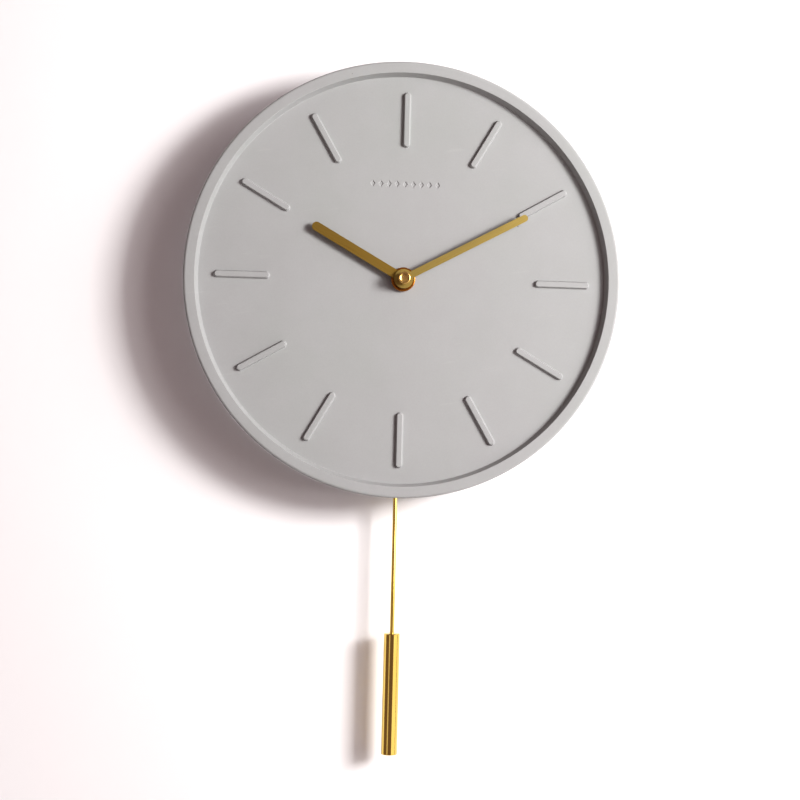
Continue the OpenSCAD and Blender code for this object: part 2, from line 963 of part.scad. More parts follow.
// ---------- Motor ----------

module stator() {
    color(STEEL)
        at_dial()
            slab(stator_y, stator_t)
                difference() {
                    union() {
                        translate([stator_x[0], stator_z[0]])
                            square([stator_x[1] - stator_x[0], stator_z[1] - stator_z[0]]);
                        for (z0 = [stator_z[0], stator_z[1] - leg_h])
                            translate([core_x - core_w / 2, z0])
                                square([stator_x[0] - core_x + core_w / 2 + EPS, leg_h]);
                    }
                    translate(p_rotor)
                        circle(r = magnet_r + 0.7, $fn = 64);
                    // Window that makes the two poles part below the rotor
                    translate([(stator_x[0] + stator_x[1]) / 2 - 1, stator_z[0] + leg_h + 2])
                        square([2, 14]);
                }
}

module coil_core() {
    flange_t = 0.6;
    color([0.55, 0.42, 0.22])
        at_dial() {
            translate([core_x - core_w / 2, stator_y + stator_t, stator_z[0]])
                cube([core_w, core_t, stator_z[1] - stator_z[0]]);
            for (z0 = [stator_z[0] + leg_h + 0.2, stator_z[1] - leg_h - 0.2 - flange_t])
                translate([core_x, coil_y, z0])
                    cylinder(r = coil_r, h = flange_t, $fn = 64);
        }
}

module motor_coil() {
    color([0.72, 0.36, 0.18])
        at_dial()
            difference() {
                translate([core_x, coil_y, stator_z[0] + leg_h + 0.8])
                    cylinder(r = coil_r - 0.2, h = stator_z[1] - stator_z[0] - 2 * leg_h - 1.6, $fn = 64);
                translate([core_x - core_w / 2 - 0.02, stator_y + stator_t - 0.02, stator_z[0]])
                    cube([core_w + 0.04, core_t + 0.04, stator_z[1] - stator_z[0]]);
            }
}

// ---------- Pendulum drive ----------

module swing_pin() {
    color(STEEL)
        at_dial()
            rod_y(pin_r, plate_in + 0.2, swing_y + arm_t / 2 + 0.5 + 2.4, [0, pivot_z]);
}

module pendulum_arm() {
    color(NYLON)
        at_dial()
            difference() {
                union() {
                    slab(swing_y - arm_t / 2, arm_t)
                        difference() {
                            union() {
                                translate([0, pivot_z])
                                    circle(r = 4, $fn = 64);
                                translate([-arm_w / 2, hook_z - 2.5])
                                    square([arm_w, arm_len + 2.5]);
                                translate([0, pivot_z - magnet_drop])
                                    circle(d = magnet_d + 3, $fn = 64);
                            }
                            translate([0, pivot_z - magnet_drop])
                                circle(d = magnet_d + 2 * fit_gap, $fn = 64);
                        }
                    // Peg with a collar that the pendulum's eye hangs on
                    rod_y(hook_r, swing_y, eye_y + eye_t + 0.8, [0, hook_z]);
                    rod_y(hook_r + 0.8, eye_y + eye_t + 0.3, eye_y + eye_t + 1.1, [0, hook_z]);
                }
                rod_y(pin_r + run_gap, swing_y - arm_t, swing_y + arm_t, [0, pivot_z]);
            }
}

module arm_magnet() {
    color(STEEL)
        at_dial()
            rod_y(magnet_d / 2, swing_y - arm_t / 2, swing_y + arm_t / 2, [0, pivot_z - magnet_drop], 64);
}

module drive_bobbin() {
    color(NYLON)
        at_dial()
            difference() {
                union() {
                    rod_y(2, plate_in, drive_back, [0, pivot_z - magnet_drop]);
                    for (y0 = [plate_in, drive_back - 0.6])
                        rod_y(6.5, y0, y0 + 0.6, [0, pivot_z - magnet_drop]);
                }
                rod_y(1, plate_in - 1, drive_back + 1, [0, pivot_z - magnet_drop]);
            }
}

module drive_coil() {
    color([0.72, 0.36, 0.18])
        at_dial()
            translate([0, 0, pivot_z - magnet_drop])
                slab(plate_in + 0.6, drive_back - plate_in - 1.2)
                    difference() {
                        circle(r = 6.1, $fn = 64);
                        circle(r = 2, $fn = 48);
                    }
}

// ---------- Pendulum ----------

// The rod's head is flattened to an eye behind the arm and cranked back to the swing plane.
module pendulum_eye() {
    color(BRASS)
        at_dial() {
            slab(eye_y, eye_t)
                difference() {
                    union() {
                        translate([0, hook_z])
                            circle(r = eye_r, $fn = 64);
                        translate([-eye_r * 0.7, hook_z - 11])
                            square([eye_r * 1.4, 11]);
                    }
                    translate([0, hook_z])
                        circle(r = hook_r + 0.1, $fn = 48);
                }
            // Socket block that the rod is riveted in
            difference() {
                translate([-eye_r * 0.7, swing_y - rod_d / 2 - 1, hook_z - 11])
                    cube([eye_r * 1.4, eye_y - swing_y + rod_d / 2 + 1 + EPS, 6]);
                translate([0, swing_y, hook_z - 12])
                    cylinder(r = rod_d / 2 + 0.02, h = 6, $fn = 48);
            }
        }
}

module pendulum_rod() {
    top = hook_z - 6.05;
    color(BRASS)
        at_dial()
            translate([0, swing_y, -bob_top - 6])
                cylinder(d = rod_d, h = top + bob_top + 6, $fn = 48);
}

module bob_tube() {
    color(BRASS)
        at_dial()
            translate([0, swing_y, bob_low + 0.4])
                difference() {
                    cylinder(d = bob_d, h = bob_len - 0.8, $fn = 96);
                    translate([0, 0, -1])
                        cylinder(d = bob_d - 2 * bob_wall, h = bob_len + 2, $fn = 96);
                }
}

// Turned plugs that close the tube; the upper one is drilled for the rod.
module bob_caps() {
    inner = bob_d / 2 - bob_wall - 0.01;
    color(BRASS)
        at_dial()
            translate([0, swing_y, 0]) {
                translate([0, 0, -bob_top - plug_len])
                    difference() {
                        union() {
                            cylinder(r = inner, h = plug_len, $fn = 96);
                            translate([0, 0, plug_len - 0.4])
                                cylinder(d1 = bob_d, d2 = bob_d - 0.8, h = 0.4, $fn = 96);
                        }
                        translate([0, 0, 1])
                            cylinder(r = rod_d / 2 + 0.01, h = plug_len + 1, $fn = 48);
                    }
                translate([0, 0, bob_low]) {
                    cylinder(r = inner, h = plug_len, $fn = 96);
                    cylinder(d1 = bob_d - 0.8, d2 = bob_d, h = 0.4, $fn = 96);
                }
            }
}

case();
hanger_plate();
hanger_screws();
wall_bumpers();
rubber_gasket();
movement_housing();
movement_cover();
cover_screws();
dial_washer();
dial_nut();
hour_hand();
minute_hand();
cap_nut();
hour_wheel();
cannon_pinion();
minute_wheel();
setting_knob();
centre_wheel();
third_wheel();
seconds_wheel();
intermediate_wheel();
rotor_pinion();
rotor_magnet();
stator();
coil_core();
motor_coil();
train_bridge();
train_screws();
circuit_board();
quartz_crystal();
clock_chip();
contact_plus();
contact_minus();
battery();
battery_button();
swing_pin();
pendulum_arm();
arm_magnet();
drive_bobbin();
drive_coil();
pendulum_eye();
pendulum_rod();
bob_tube();
bob_caps();
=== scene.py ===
import math
import bmesh
import bpy
from mathutils import Matrix, Vector


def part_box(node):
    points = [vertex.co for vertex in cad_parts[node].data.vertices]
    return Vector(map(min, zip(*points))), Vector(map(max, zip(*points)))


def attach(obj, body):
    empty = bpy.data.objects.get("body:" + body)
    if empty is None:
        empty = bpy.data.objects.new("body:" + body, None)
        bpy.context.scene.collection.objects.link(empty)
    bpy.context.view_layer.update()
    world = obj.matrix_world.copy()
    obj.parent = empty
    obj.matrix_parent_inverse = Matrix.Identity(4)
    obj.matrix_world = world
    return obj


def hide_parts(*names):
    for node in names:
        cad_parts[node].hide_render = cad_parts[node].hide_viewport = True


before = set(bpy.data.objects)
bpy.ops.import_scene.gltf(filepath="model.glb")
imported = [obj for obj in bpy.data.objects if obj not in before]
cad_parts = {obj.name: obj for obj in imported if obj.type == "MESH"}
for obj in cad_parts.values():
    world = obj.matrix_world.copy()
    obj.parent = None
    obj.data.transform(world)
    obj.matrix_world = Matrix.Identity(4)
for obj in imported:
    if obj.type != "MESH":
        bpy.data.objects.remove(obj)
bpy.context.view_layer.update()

# Camera: a longish lens a little over a metre away, slightly left of the dial and below its
# centre, looking up at it with a small roll, as the clock is seen from a standing height.
case_low, case_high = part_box("case")
dial_centre = (case_low + case_high) / 2
dial_centre.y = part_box("dial_washer")[1].y
camera_offset = Vector((-0.0891, -1.0965, -0.1190))
camera_forward = Vector((0.0810, 0.9962, 0.0329))
camera_right = Vector((0.9963, -0.0818, 0.0246))
camera_up = camera_right.cross(camera_forward)
camera_data = bpy.data.cameras.new("camera")
camera_data.lens = 72.2
camera_data.sensor_width = 36
camera_data.clip_start = 0.05
camera_data.clip_end = 50
camera = bpy.data.objects.new("camera", camera_data)
bpy.context.collection.objects.link(camera)
axes = Matrix((camera_right.normalized(), camera_up.normalized(), -camera_forward.normalized())).transposed()
camera.matrix_world = Matrix.Translation(dial_centre + camera_offset) @ axes.to_4x4()
bpy.context.scene.camera = camera
bpy.context.scene.view_settings.view_transform = "Standard"
bpy.context.scene.view_settings.look = "Medium High Contrast"


# Wall and floor: a smooth painted wall right behind the clock and a pale floor well below.
# Neither is attached to the clock; the wall is clear from behind, so the clock's back can be looked at.
def new_material(name):
    material = bpy.data.materials.new(name)
    material.use_nodes = True
    nodes, links = material.node_tree.nodes, material.node_tree.links
    return material, nodes, links, nodes["Principled BSDF"]


wall_paint, nodes, links, shader = new_material("wall paint")
shader.inputs["Base Color"].default_value = (0.86, 0.845, 0.852, 1)
shader.inputs["Roughness"].default_value = 0.85
shader.inputs["Specular IOR Level"].default_value = 0.1
see_through = nodes.new("ShaderNodeBsdfTransparent")
side = nodes.new("ShaderNodeNewGeometry")
either = nodes.new("ShaderNodeMixShader")
links.new(side.outputs["Backfacing"], either.inputs[0])
links.new(shader.outputs[0], either.inputs[1])
links.new(see_through.outputs[0], either.inputs[2])
links.new(either.outputs[0], nodes["Material Output"].inputs["Surface"])
bpy.ops.mesh.primitive_plane_add(size=6, location=(0, 0.0006, 0.9), rotation=(math.pi / 2, 0, 0))
wall = bpy.context.object
wall.name = "wall"
wall.data.materials.append(wall_paint)
wall.visible_shadow = False

floor_paint, nodes, links, shader = new_material("floor paint")
shader.inputs["Base Color"].default_value = (0.78, 0.77, 0.76, 1)
shader.inputs["Roughness"].default_value = 0.9
bpy.ops.mesh.primitive_plane_add(size=6, location=(0, 0, -1.75))
floor = bpy.context.object
floor.name = "floor"
floor.data.materials.append(floor_paint)

# Light: a small and a wide soft box on the right throw the case's shadow to the left, and a
# dim, even room light fills it; the eye sees a pale backdrop where nothing stands. Cards
# that only shine in the brass stand for the bright parts of the room.
world = bpy.data.worlds.new("room")
world.use_nodes = True
room = world.node_tree.nodes["Background"]
room.inputs["Color"].default_value = (1, 0.70, 0.71, 1)
room.inputs["Strength"].default_value = 0.18
backdrop = world.node_tree.nodes.new("ShaderNodeBackground")
backdrop.inputs["Color"].default_value = (0.80, 0.79, 0.78, 1)
seen = world.node_tree.nodes.new("ShaderNodeLightPath")
either = world.node_tree.nodes.new("ShaderNodeMixShader")
world.node_tree.links.new(seen.outputs["Is Camera Ray"], either.inputs[0])
world.node_tree.links.new(room.outputs[0], either.inputs[1])
world.node_tree.links.new(backdrop.outputs[0], either.inputs[2])
world.node_tree.links.new(either.outputs[0], world.node_tree.nodes["World Output"].inputs["Surface"])
bpy.context.scene.world = world


def soft_box(name, towards, distance, width, height, watts, colour):
    """An area lamp that faces the dial from the given direction and distance."""
    data = bpy.data.lights.new(name, "AREA")
    data.shape = "RECTANGLE"
    data.size = width
    data.size_y = height
    data.energy = watts
    data.color = colour
    lamp = bpy.data.objects.new(name, data)
    bpy.context.collection.objects.link(lamp)
    towards = Vector(towards).normalized()
    lamp.location = dial_centre + towards * distance
    lamp.rotation_euler = towards.to_track_quat("Z", "Y").to_euler()
    return lamp


key_side = (0.735, -0.69, 0.16)
daylight = (1, 0.985, 0.975)
soft_box("key light", key_side, 1.5, 0.38, 0.38, 24, daylight)
soft_box("key glow", key_side, 1.6, 1.2, 1.2, 17.5, daylight)
soft_box("back light", (-0.4, 0.85, 0.35), 1.6, 0.8, 0.8, 26, (1, 1, 1))


def card(name, azimuth, elevation, distance, width, height, radiance, colour):
    """A soft box that only shows in shiny pieces, at an angle from the front towards the right."""
    azimuth, elevation = math.radians(azimuth), math.radians(elevation)
    towards = (math.sin(azimuth) * math.cos(elevation), -math.cos(azimuth) * math.cos(elevation),
               math.sin(elevation))
    lamp = soft_box(name, towards, distance, width, height, radiance * math.pi * width * height, colour)
    lamp.visible_diffuse = False


warm_card = (1, 0.97, 0.92)
card("front card", 6, 22, 2.2, 1.5, 1.1, 0.24, warm_card)
card("window card", 55, -22, 1.9, 2.0, 1.5, 0.95, (1, 0.98, 0.93))
card("left card", -34, -20, 1.9, 0.5, 1.5, 0.5, warm_card)


# Concrete case: one thick casting, a shallow dish in front and hollow behind, turned here
# ring by ring from its pocket round the rim to the dial floor, with soft cast edges. The
# hour bars, the hanger boss and the pad bosses are cast with it, and its holes are cored.
case_radius = (case_high.x - case_low.x) / 2
dial_x, dial_z = dial_centre.x, dial_centre.z
rim_front = case_low.y
case_back = case_high.y
dial_floor = dial_centre.y
slab_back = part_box("rubber_gasket")[0].y
rim_width = 0.008
wall_slope = 0.0016
side_wall = 0.011
rim_edge = 0.0019
lip_edge = 0.0005
floor_edge = 0.0006
pocket_edge = 0.002
back_edge = 0.001
case_sides = 256


def choose_faces(piece, test):
    """In edit mode, selects just the faces whose centre and normal pass the test."""
    bpy.ops.mesh.select_mode(type="FACE")
    mesh = bmesh.from_edit_mesh(piece.data)
    for face in mesh.faces:
        face.select_set(test(face.calc_center_median(), face.normal))
    mesh.select_flush_mode()
    bmesh.update_edit_mesh(piece.data)


def choose_points(piece, test):
    """In edit mode, selects just the vertices whose place passes the test."""
    bpy.ops.mesh.select_mode(type="VERT")
    mesh = bmesh.from_edit_mesh(piece.data)
    for point in mesh.verts:
        point.select_set(test(point.co))
    mesh.select_flush_mode()
    bmesh.update_edit_mesh(piece.data)


def choose_edges(piece, test):
    """In edit mode, selects just the edges whose middle and direction pass the test."""
    bpy.ops.mesh.select_mode(type="EDGE")
    mesh = bmesh.from_edit_mesh(piece.data)
    for edge in mesh.edges:
        first, last = edge.verts[0].co, edge.verts[1].co
        edge.select_set(test((first + last) / 2, (last - first).normalized()))
    mesh.select_flush_mode()
    bmesh.update_edit_mesh(piece.data)


def pick(piece):
    """Makes this the only selected piece, and the active one."""
    bpy.ops.object.select_all(action="DESELECT")
    piece.select_set(True)
    bpy.context.view_layer.objects.active = piece


def begin_edit(piece):
    pick(piece)
    bpy.ops.object.mode_set(mode="EDIT")
    bpy.ops.mesh.select_all(action="DESELECT")


def end_edit():
    bpy.ops.object.mode_set(mode="OBJECT")


def face_out():
    """In edit mode, merges doubles and turns every face outwards."""
    bpy.ops.mesh.select_all(action="SELECT")
    bpy.ops.mesh.remove_doubles(threshold=1e-6)
    bpy.ops.mesh.normals_make_consistent(inside=False)
    bpy.ops.mesh.select_all(action="DESELECT")


def place(piece):
    """Moves a fresh primitive's place and turn into its mesh."""
    pick(piece)
    bpy.ops.object.transform_apply(location=True, rotation=True, scale=True)
    return piece


def disc(name, centre, radius, front, back, sides):
    """A round blank along Y from front to back, round a centre in x and z."""
    bpy.ops.object.select_all(action="DESELECT")
    bpy.ops.mesh.primitive_cylinder_add(
        vertices=sides, radius=radius, depth=back - front,
        location=(centre[0], (front + back) / 2, centre[1]), rotation=(math.pi / 2, 0, 0))
    bpy.context.object.name = name
    return place(bpy.context.object)


def block(name, low, high):
    """A rectangular blank between two corners."""
    low, high = Vector(low), Vector(high)
    bpy.ops.object.select_all(action="DESELECT")
    bpy.ops.mesh.primitive_cube_add(size=1, location=(low + high) / 2)
    bpy.context.object.scale = high - low
    bpy.context.object.name = name
    return place(bpy.context.object)


def pull_rings(rings, centre, radius, depth):
    """Draws the selected round face through each (radius, y) of a turned profile."""
    for ring_radius, y in rings:
        bpy.ops.mesh.extrude_region_move(TRANSFORM_OT_translate={"value": (0, y - depth, 0)})
        grow = ring_radius / radius
        bpy.ops.transform.resize(value=(grow, 1, grow), center_override=(centre[0], y, centre[1]))
        radius, depth = ring_radius, y


def corner(centre_r, centre_y, radius, start, stop, steps):
    """Points of a round corner in (radius, y), with angles in degrees from outwards to the front."""
    angles = [math.radians(start + (stop - start) * i / steps) for i in range(steps + 1)]
    return [(centre_r + radius * math.cos(a), centre_y - radius * math.sin(a)) for a in angles]


def combine(piece, other, operation):
    """Applies a boolean of the other piece to this one, and removes the other."""
    pick(piece)
    change = piece.modifiers.new("combine", "BOOLEAN")
    change.operation = operation
    change.solver = "EXACT"
    change.object = other
    bpy.ops.object.modifier_apply(modifier=change.name)
    bpy.data.objects.remove(other)
    return piece


def join_all(pieces, name):
    bpy.ops.object.select_all(action="DESELECT")
    for piece in pieces:
        piece.select_set(True)
    bpy.context.view_layer.objects.active = pieces[0]
    bpy.ops.object.join()
    pieces[0].name = name
    return pieces[0]


def round_edges(piece, width, segments, degrees):
    """Bevels every edge that is sharper than the angle."""
    pick(piece)
    bevel = piece.modifiers.new("round", "BEVEL")
    bevel.width = width
    bevel.segments = segments
    bevel.limit_method = "ANGLE"
    bevel.angle_limit = math.radians(degrees)
    bevel.use_clamp_overlap = True
    bpy.ops.object.modifier_apply(modifier=bevel.name)


def smooth(piece, degrees):
    """Rounds the shading below the angle and lets the large flat faces keep theirs."""
    pick(piece)
    bpy.ops.object.shade_smooth_by_angle(angle=math.radians(degrees))
    weigh = piece.modifiers.new("weigh", "WEIGHTED_NORMAL")
    weigh.keep_sharp = True
    bpy.ops.object.modifier_apply(modifier=weigh.name)


def settle(piece, body, slot, material, *nodes):
    """Gives a finished piece its material and its place in the clock."""
    piece.data.materials.clear()
    piece.data.materials.append(material)
    for face in piece.data.polygons:
        face.material_index = 0
    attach(piece, body)
    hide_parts(*nodes)


middle = (dial_x, dial_z)
lip_radius = case_radius - rim_width
floor_radius = lip_radius - wall_slope
pocket_radius = case_radius - side_wall
inner_floor = floor_radius - 0.006
case = disc("case_casting", middle, pocket_radius, slab_back + pocket_edge, case_back, case_sides)
outline = corner(case_radius - back_edge, case_back - back_edge, back_edge, -90, 0, 4)
outline += corner(case_radius - rim_edge, rim_front + rim_edge, rim_edge, 0, 90, 7)
outline += corner(lip_radius + lip_edge, rim_front + lip_edge, lip_edge, 90, 180, 5)
outline += corner(floor_radius - floor_edge, dial_floor - floor_edge, floor_edge, 0, -90, 6)
outline += [(inner_floor, dial_floor)]
begin_edit(case)
choose_faces(case, lambda at, normal: normal.y > 0.9)
pull_rings(outline, middle, pocket_radius, case_back)
choose_faces(case, lambda at, normal: at.y < slab_back + pocket_edge + 1e-6 and abs(at.x - dial_x) < 1e-4
             and abs(at.z - dial_z) < 1e-4 and abs(at.y - slab_back - pocket_edge) < 1e-6)
pull_rings(corner(pocket_radius - pocket_edge, slab_back + pocket_edge, pocket_edge, 18, 90, 4),
           middle, pocket_radius, slab_back + pocket_edge)
face_out()
end_edit()

# Hour bars: soft-sided ridges that rise from the dial floor and have round ends. One is
# shaped by climbing from its foot to its flat top, and the rest are turned copies of it.
bar_count = 12
bar_length = 0.0366
bar_width = 0.0034
bar_slope = 0.0011
bar_gap = 0.0117
bar_profile = [
    (0.0003, 0.00008), (0.0002, 0.00028), (0.0002, 0.00058), (0.0002, 0.00074),
    (0.0002, 0.00050), (0.0002, 0.00024), (0.0003, 0.00008)]
foot_depth = 0.0006
bar_reach = sum(step[0] for step in bar_profile)
bar_middle = dial_z + floor_radius - bar_gap - bar_length / 2


def stadium(name, centre, width, length, y, sides):
    """A flat face that looks to the front, with round ends along Z."""
    bpy.ops.object.select_all(action="DESELECT")
    bpy.ops.mesh.primitive_circle_add(
        vertices=sides, radius=width / 2, fill_type="NGON",
        location=(centre[0], y, centre[1]), rotation=(math.pi / 2, 0, 0))
    shape = bpy.context.object
    shape.name = name
    shape.rotation_euler.rotate_axis("Z", math.pi / sides)
    place(shape)
    begin_edit(shape)
    for way in (-1, 1):
        choose_points(shape, lambda at, way=way: way * (at.z - centre[1]) > 0)
        bpy.ops.transform.translate(value=(0, 0, way * (length - width) / 2))
    end_edit()
    return shape


foot_width = bar_width + 2 * bar_slope + 2 * (bar_reach - bar_slope - 0.0003)
foot_length = bar_length + foot_width - bar_width
bar = stadium("hour_bar", (dial_x, bar_middle), foot_width, foot_length, dial_floor + foot_depth, 36)
begin_edit(bar)
bpy.ops.mesh.select_all(action="SELECT")
bpy.ops.mesh.extrude_region_move(TRANSFORM_OT_translate={"value": (0, -foot_depth + 0.00004, 0)})
for inward, rise in bar_profile:
    bpy.ops.mesh.inset(thickness=inward, depth=rise)
face_out()
end_edit()
bars = [bar]
for hour in range(1, bar_count):
    pick(bar)
    bpy.ops.object.duplicate()
    turned = bpy.context.object
    bars.append(turned)
    begin_edit(turned)
    bpy.ops.mesh.select_all(action="SELECT")
    bpy.ops.transform.rotate(value=2 * math.pi * hour / bar_count, orient_axis="Y",
                             center_override=dial_centre)
    end_edit()
raised = bars

# Behind the dial the casting has a boss for the hanger plate and one for each pad. The
# ornament is a row of small lozenges pressed in the dial, and the cores leave the hole for
# the bushing, the notch that the rod swings in, the plate's seat and the screw holes.
plate_low, plate_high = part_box("hanger_plate")
boss_half = (plate_high.x - plate_low.x) / 2 + 0.004
boss_bottom = plate_low.z - 0.013
pads_low, pads_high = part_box("wall_bumpers")
pad_radius = (pads_high.z - pads_low.z) / 2
pad_z = (pads_high.z + pads_low.z) / 2
pad_centres = [(pads_low.x + pad_radius, pad_z), (pads_high.x - pad_radius, pad_z)]
pad_boss = 0.0025
sunk = 0.0015
hanger_boss = block("hanger_boss", (-boss_half, slab_back - sunk, boss_bottom),
                    (boss_half, case_back, dial_z + pocket_radius + 0.004))
begin_edit(hanger_boss)
choose_edges(hanger_boss, lambda at, way: abs(way.y) > 0.9 and at.z < boss_bottom + 0.001)
bpy.ops.mesh.bevel(offset=0.003, segments=6)
end_edit()
raised.append(hanger_boss)
for pad_centre in pad_centres:
    raised.append(disc("pad_post", pad_centre, pad_radius + pad_boss, slab_back - sunk, case_back, 64))
combine(case, join_all(raised, "raised"), "UNION")

ornament_count = 9
ornament_step = 0.0056
ornament_rise = 0.066
ornament_width = 0.0036
ornament_height = 0.005
ornament_depth = 0.0005
marks = []
for place_in_row in range(ornament_count):
    offset = (place_in_row - (ornament_count - 1) / 2) * ornament_step
    bpy.ops.object.select_all(action="DESELECT")
    bpy.ops.mesh.primitive_cone_add(
        vertices=4, radius1=1.0, radius2=0.45, depth=2 * ornament_depth,
        location=(dial_x + offset, dial_floor, dial_z + ornament_rise), rotation=(-math.pi / 2, 0, 0))
    mark = bpy.context.object
    mark.scale = (ornament_width / 2 / 0.725, ornament_height / 2 / 0.725, 1)
    marks.append(place(mark))

notch_half = 0.0207
bush_hole = 0.0046
fit = 0.00005
plate_seat = plate_high.y - plate_low.y
head_room_half = 0.0065
head_room_depth = 0.0105
plate_screw_x = 0.023
plate_screw_z = 0.003
screw_hole = 0.00155
cores = marks + [
    disc("bush_core", middle, bush_hole, dial_floor - 0.001, slab_back + 0.001, 96),
    block("notch_core", (-notch_half, slab_back, dial_z - case_radius - 0.001),
          (notch_half, case_back + 0.001, dial_z - case_radius + side_wall + 0.007)),
    block("seat_core", (plate_low.x - fit, -plate_seat, plate_low.z - fit),
          (plate_high.x + fit, 0.001, plate_high.z + fit))]
for pad_centre in pad_centres:
    cores.append(disc("pad_core", pad_centre, pad_radius + fit, pads_low.y, 0.001, 64))
combine(case, join_all(cores, "cores"), "DIFFERENCE")
deep_cores = [
    block("head_core", (-head_room_half, -head_room_depth, plate_low.z + 0.002),
          (head_room_half, 0.001, plate_high.z - 0.002))]
for way in (-1, 1):
    screw_place = (way * plate_screw_x, plate_screw_z)
    deep_cores.append(disc("screw_core", screw_place, screw_hole, -0.0105, 0.001, 32))
combine(case, join_all(deep_cores, "deep_cores"), "DIFFERENCE")
smooth(case, 38)

# Concrete: a fine grey mix with a warm and a cool cloud in it, faint pale smears where the
# face was rubbed, a few pinholes from trapped air with painted shade darkening their insides,
# and a dull sheen from the sealer.
concrete, nodes, links, shader = new_material("cast concrete")


def object_space(nodes, links, stretch=(1, 1, 1), turn=(0, 0, 0)):
    """Object coordinates, with the pattern turned and then stretched along its own axes."""
    coordinates = nodes.new("ShaderNodeTexCoord")
    mapping = nodes.new("ShaderNodeMapping")
    mapping.vector_type = "TEXTURE"
    mapping.inputs["Scale"].default_value = stretch
    mapping.inputs["Rotation"].default_value = turn
    links.new(coordinates.outputs["Object"], mapping.inputs["Vector"])
    return mapping.outputs["Vector"]


def noise(nodes, links, space, scale, detail, roughness=0.5):
    texture = nodes.new("ShaderNodeTexNoise")
    texture.inputs["Scale"].default_value = scale
    texture.inputs["Detail"].default_value = detail
    texture.inputs["Roughness"].default_value = roughness
    links.new(space, texture.inputs["Vector"])
    return texture.outputs["Fac"]


def spread(nodes, links, value, low, high, to_low, to_high):
    """Stretches a value's range from low to high onto another range, and clamps it."""
    stretch = nodes.new("ShaderNodeMapRange")
    stretch.inputs["From Min"].default_value = low
    stretch.inputs["From Max"].default_value = high
    stretch.inputs["To Min"].default_value = to_low
    stretch.inputs["To Max"].default_value = to_high
    links.new(value, stretch.inputs["Value"])
    return stretch.outputs["Result"]


def tint(nodes, links, amount, first, second, blend="MIX"):
    """Mixes two colours, or a linked colour and a fixed one, by an amount."""
    mix = nodes.new("ShaderNodeMix")
    mix.data_type = "RGBA"
    mix.blend_type = blend
    links.new(amount, mix.inputs["Factor"])
    for colour, socket in ((first, mix.inputs["A"]), (second, mix.inputs["B"])):
        if isinstance(colour, tuple):
            socket.default_value = (*colour, 1)
        else:
            links.new(colour, socket)
    return mix.outputs["Result"]


def bump(nodes, links, height, distance, strength, under=None):
    """A bump of the height in metres, on top of another if one is given."""
    relief = nodes.new("ShaderNodeBump")
    relief.inputs["Distance"].default_value = distance
    relief.inputs["Strength"].default_value = strength
    links.new(height, relief.inputs["Height"])
    if under:
        links.new(under, relief.inputs["Normal"])
    return relief.outputs["Normal"]


space = object_space(nodes, links)
cloud = spread(nodes, links, noise(nodes, links, space, 9, 3), 0.35, 0.65, 0, 1)
colour = tint(nodes, links, cloud, (0.330, 0.332, 0.334), (0.326, 0.340, 0.331))
patch = spread(nodes, links, noise(nodes, links, space, 26, 5, 0.6), 0.3, 0.7, 0, 1)
colour = tint(nodes, links, patch, colour, (0.350, 0.355, 0.356))
smear_space = object_space(nodes, links, (1, 1, 0.14), (0, -0.15, 0))
smear = spread(nodes, links, noise(nodes, links, smear_space, 38, 2), 0.70, 0.78, 0, 0.11)
colour = tint(nodes, links, smear, colour, (0.46, 0.455, 0.45))
grain = noise(nodes, links, space, 900, 2)
colour = tint(nodes, links, spread(nodes, links, grain, 0.3, 0.7, 0, 0.10), colour, (0.26, 0.25, 0.245))
cells = nodes.new("ShaderNodeTexVoronoi")
cells.inputs["Scale"].default_value = 55
links.new(space, cells.inputs["Vector"])
lonely = spread(nodes, links, noise(nodes, links, space, 31, 1), 0.56, 0.6, 0, 0.045)
pinhole_pits_and_shade = nodes.new("ShaderNodeMath")
pinhole_pits_and_shade.operation = "LESS_THAN"
links.new(cells.outputs["Distance"], pinhole_pits_and_shade.inputs[0])
links.new(lonely, pinhole_pits_and_shade.inputs[1])
# Pinholes: the dark colour inside each pit is painted shade, and the pit itself is a bump.
colour = tint(nodes, links, spread(nodes, links, pinhole_pits_and_shade.outputs[0], 0, 1, 0, 0.55), colour,
              (0.14, 0.13, 0.125))
links.new(colour, shader.inputs["Base Color"])
links.new(spread(nodes, links, patch, 0, 1, 0.72, 0.84), shader.inputs["Roughness"])
shader.inputs["Specular IOR Level"].default_value = 0.35
waves = bump(nodes, links, noise(nodes, links, space, 45, 3), 0.0004, 0.35)
pores = bump(nodes, links, noise(nodes, links, space, 1400, 3, 0.7), 0.00012, 0.3, waves)
pits = bump(nodes, links, spread(nodes, links, pinhole_pits_and_shade.outputs[0], 0, 1, 1, 0), 0.0005, 0.6, pores)
links.new(pits, shader.inputs["Normal"])
settle(case, "clock_case", "concrete", concrete, "case")

# Hanger plate: a stamped strip of zinc plated steel that lies in its seat in the boss. The
# keyhole's round hole drops over the head of a wall screw, and its slot takes the neck.
def make_group(name, takes, gives):
    """A shader node group with its inputs and outputs, given as (name, socket type, default)."""
    group = bpy.data.node_groups.new(name, "ShaderNodeTree")
    for socket_name, kind, default in takes:
        socket = group.interface.new_socket(name=socket_name, in_out="INPUT", socket_type=kind)
        if default is not None:
            socket.default_value = default
    for socket_name, kind in gives:
        group.interface.new_socket(name=socket_name, in_out="OUTPUT", socket_type=kind)
    entry = group.nodes.new("NodeGroupInput")
    leave = group.nodes.new("NodeGroupOutput")
    return group, group.nodes, group.links, entry, leave


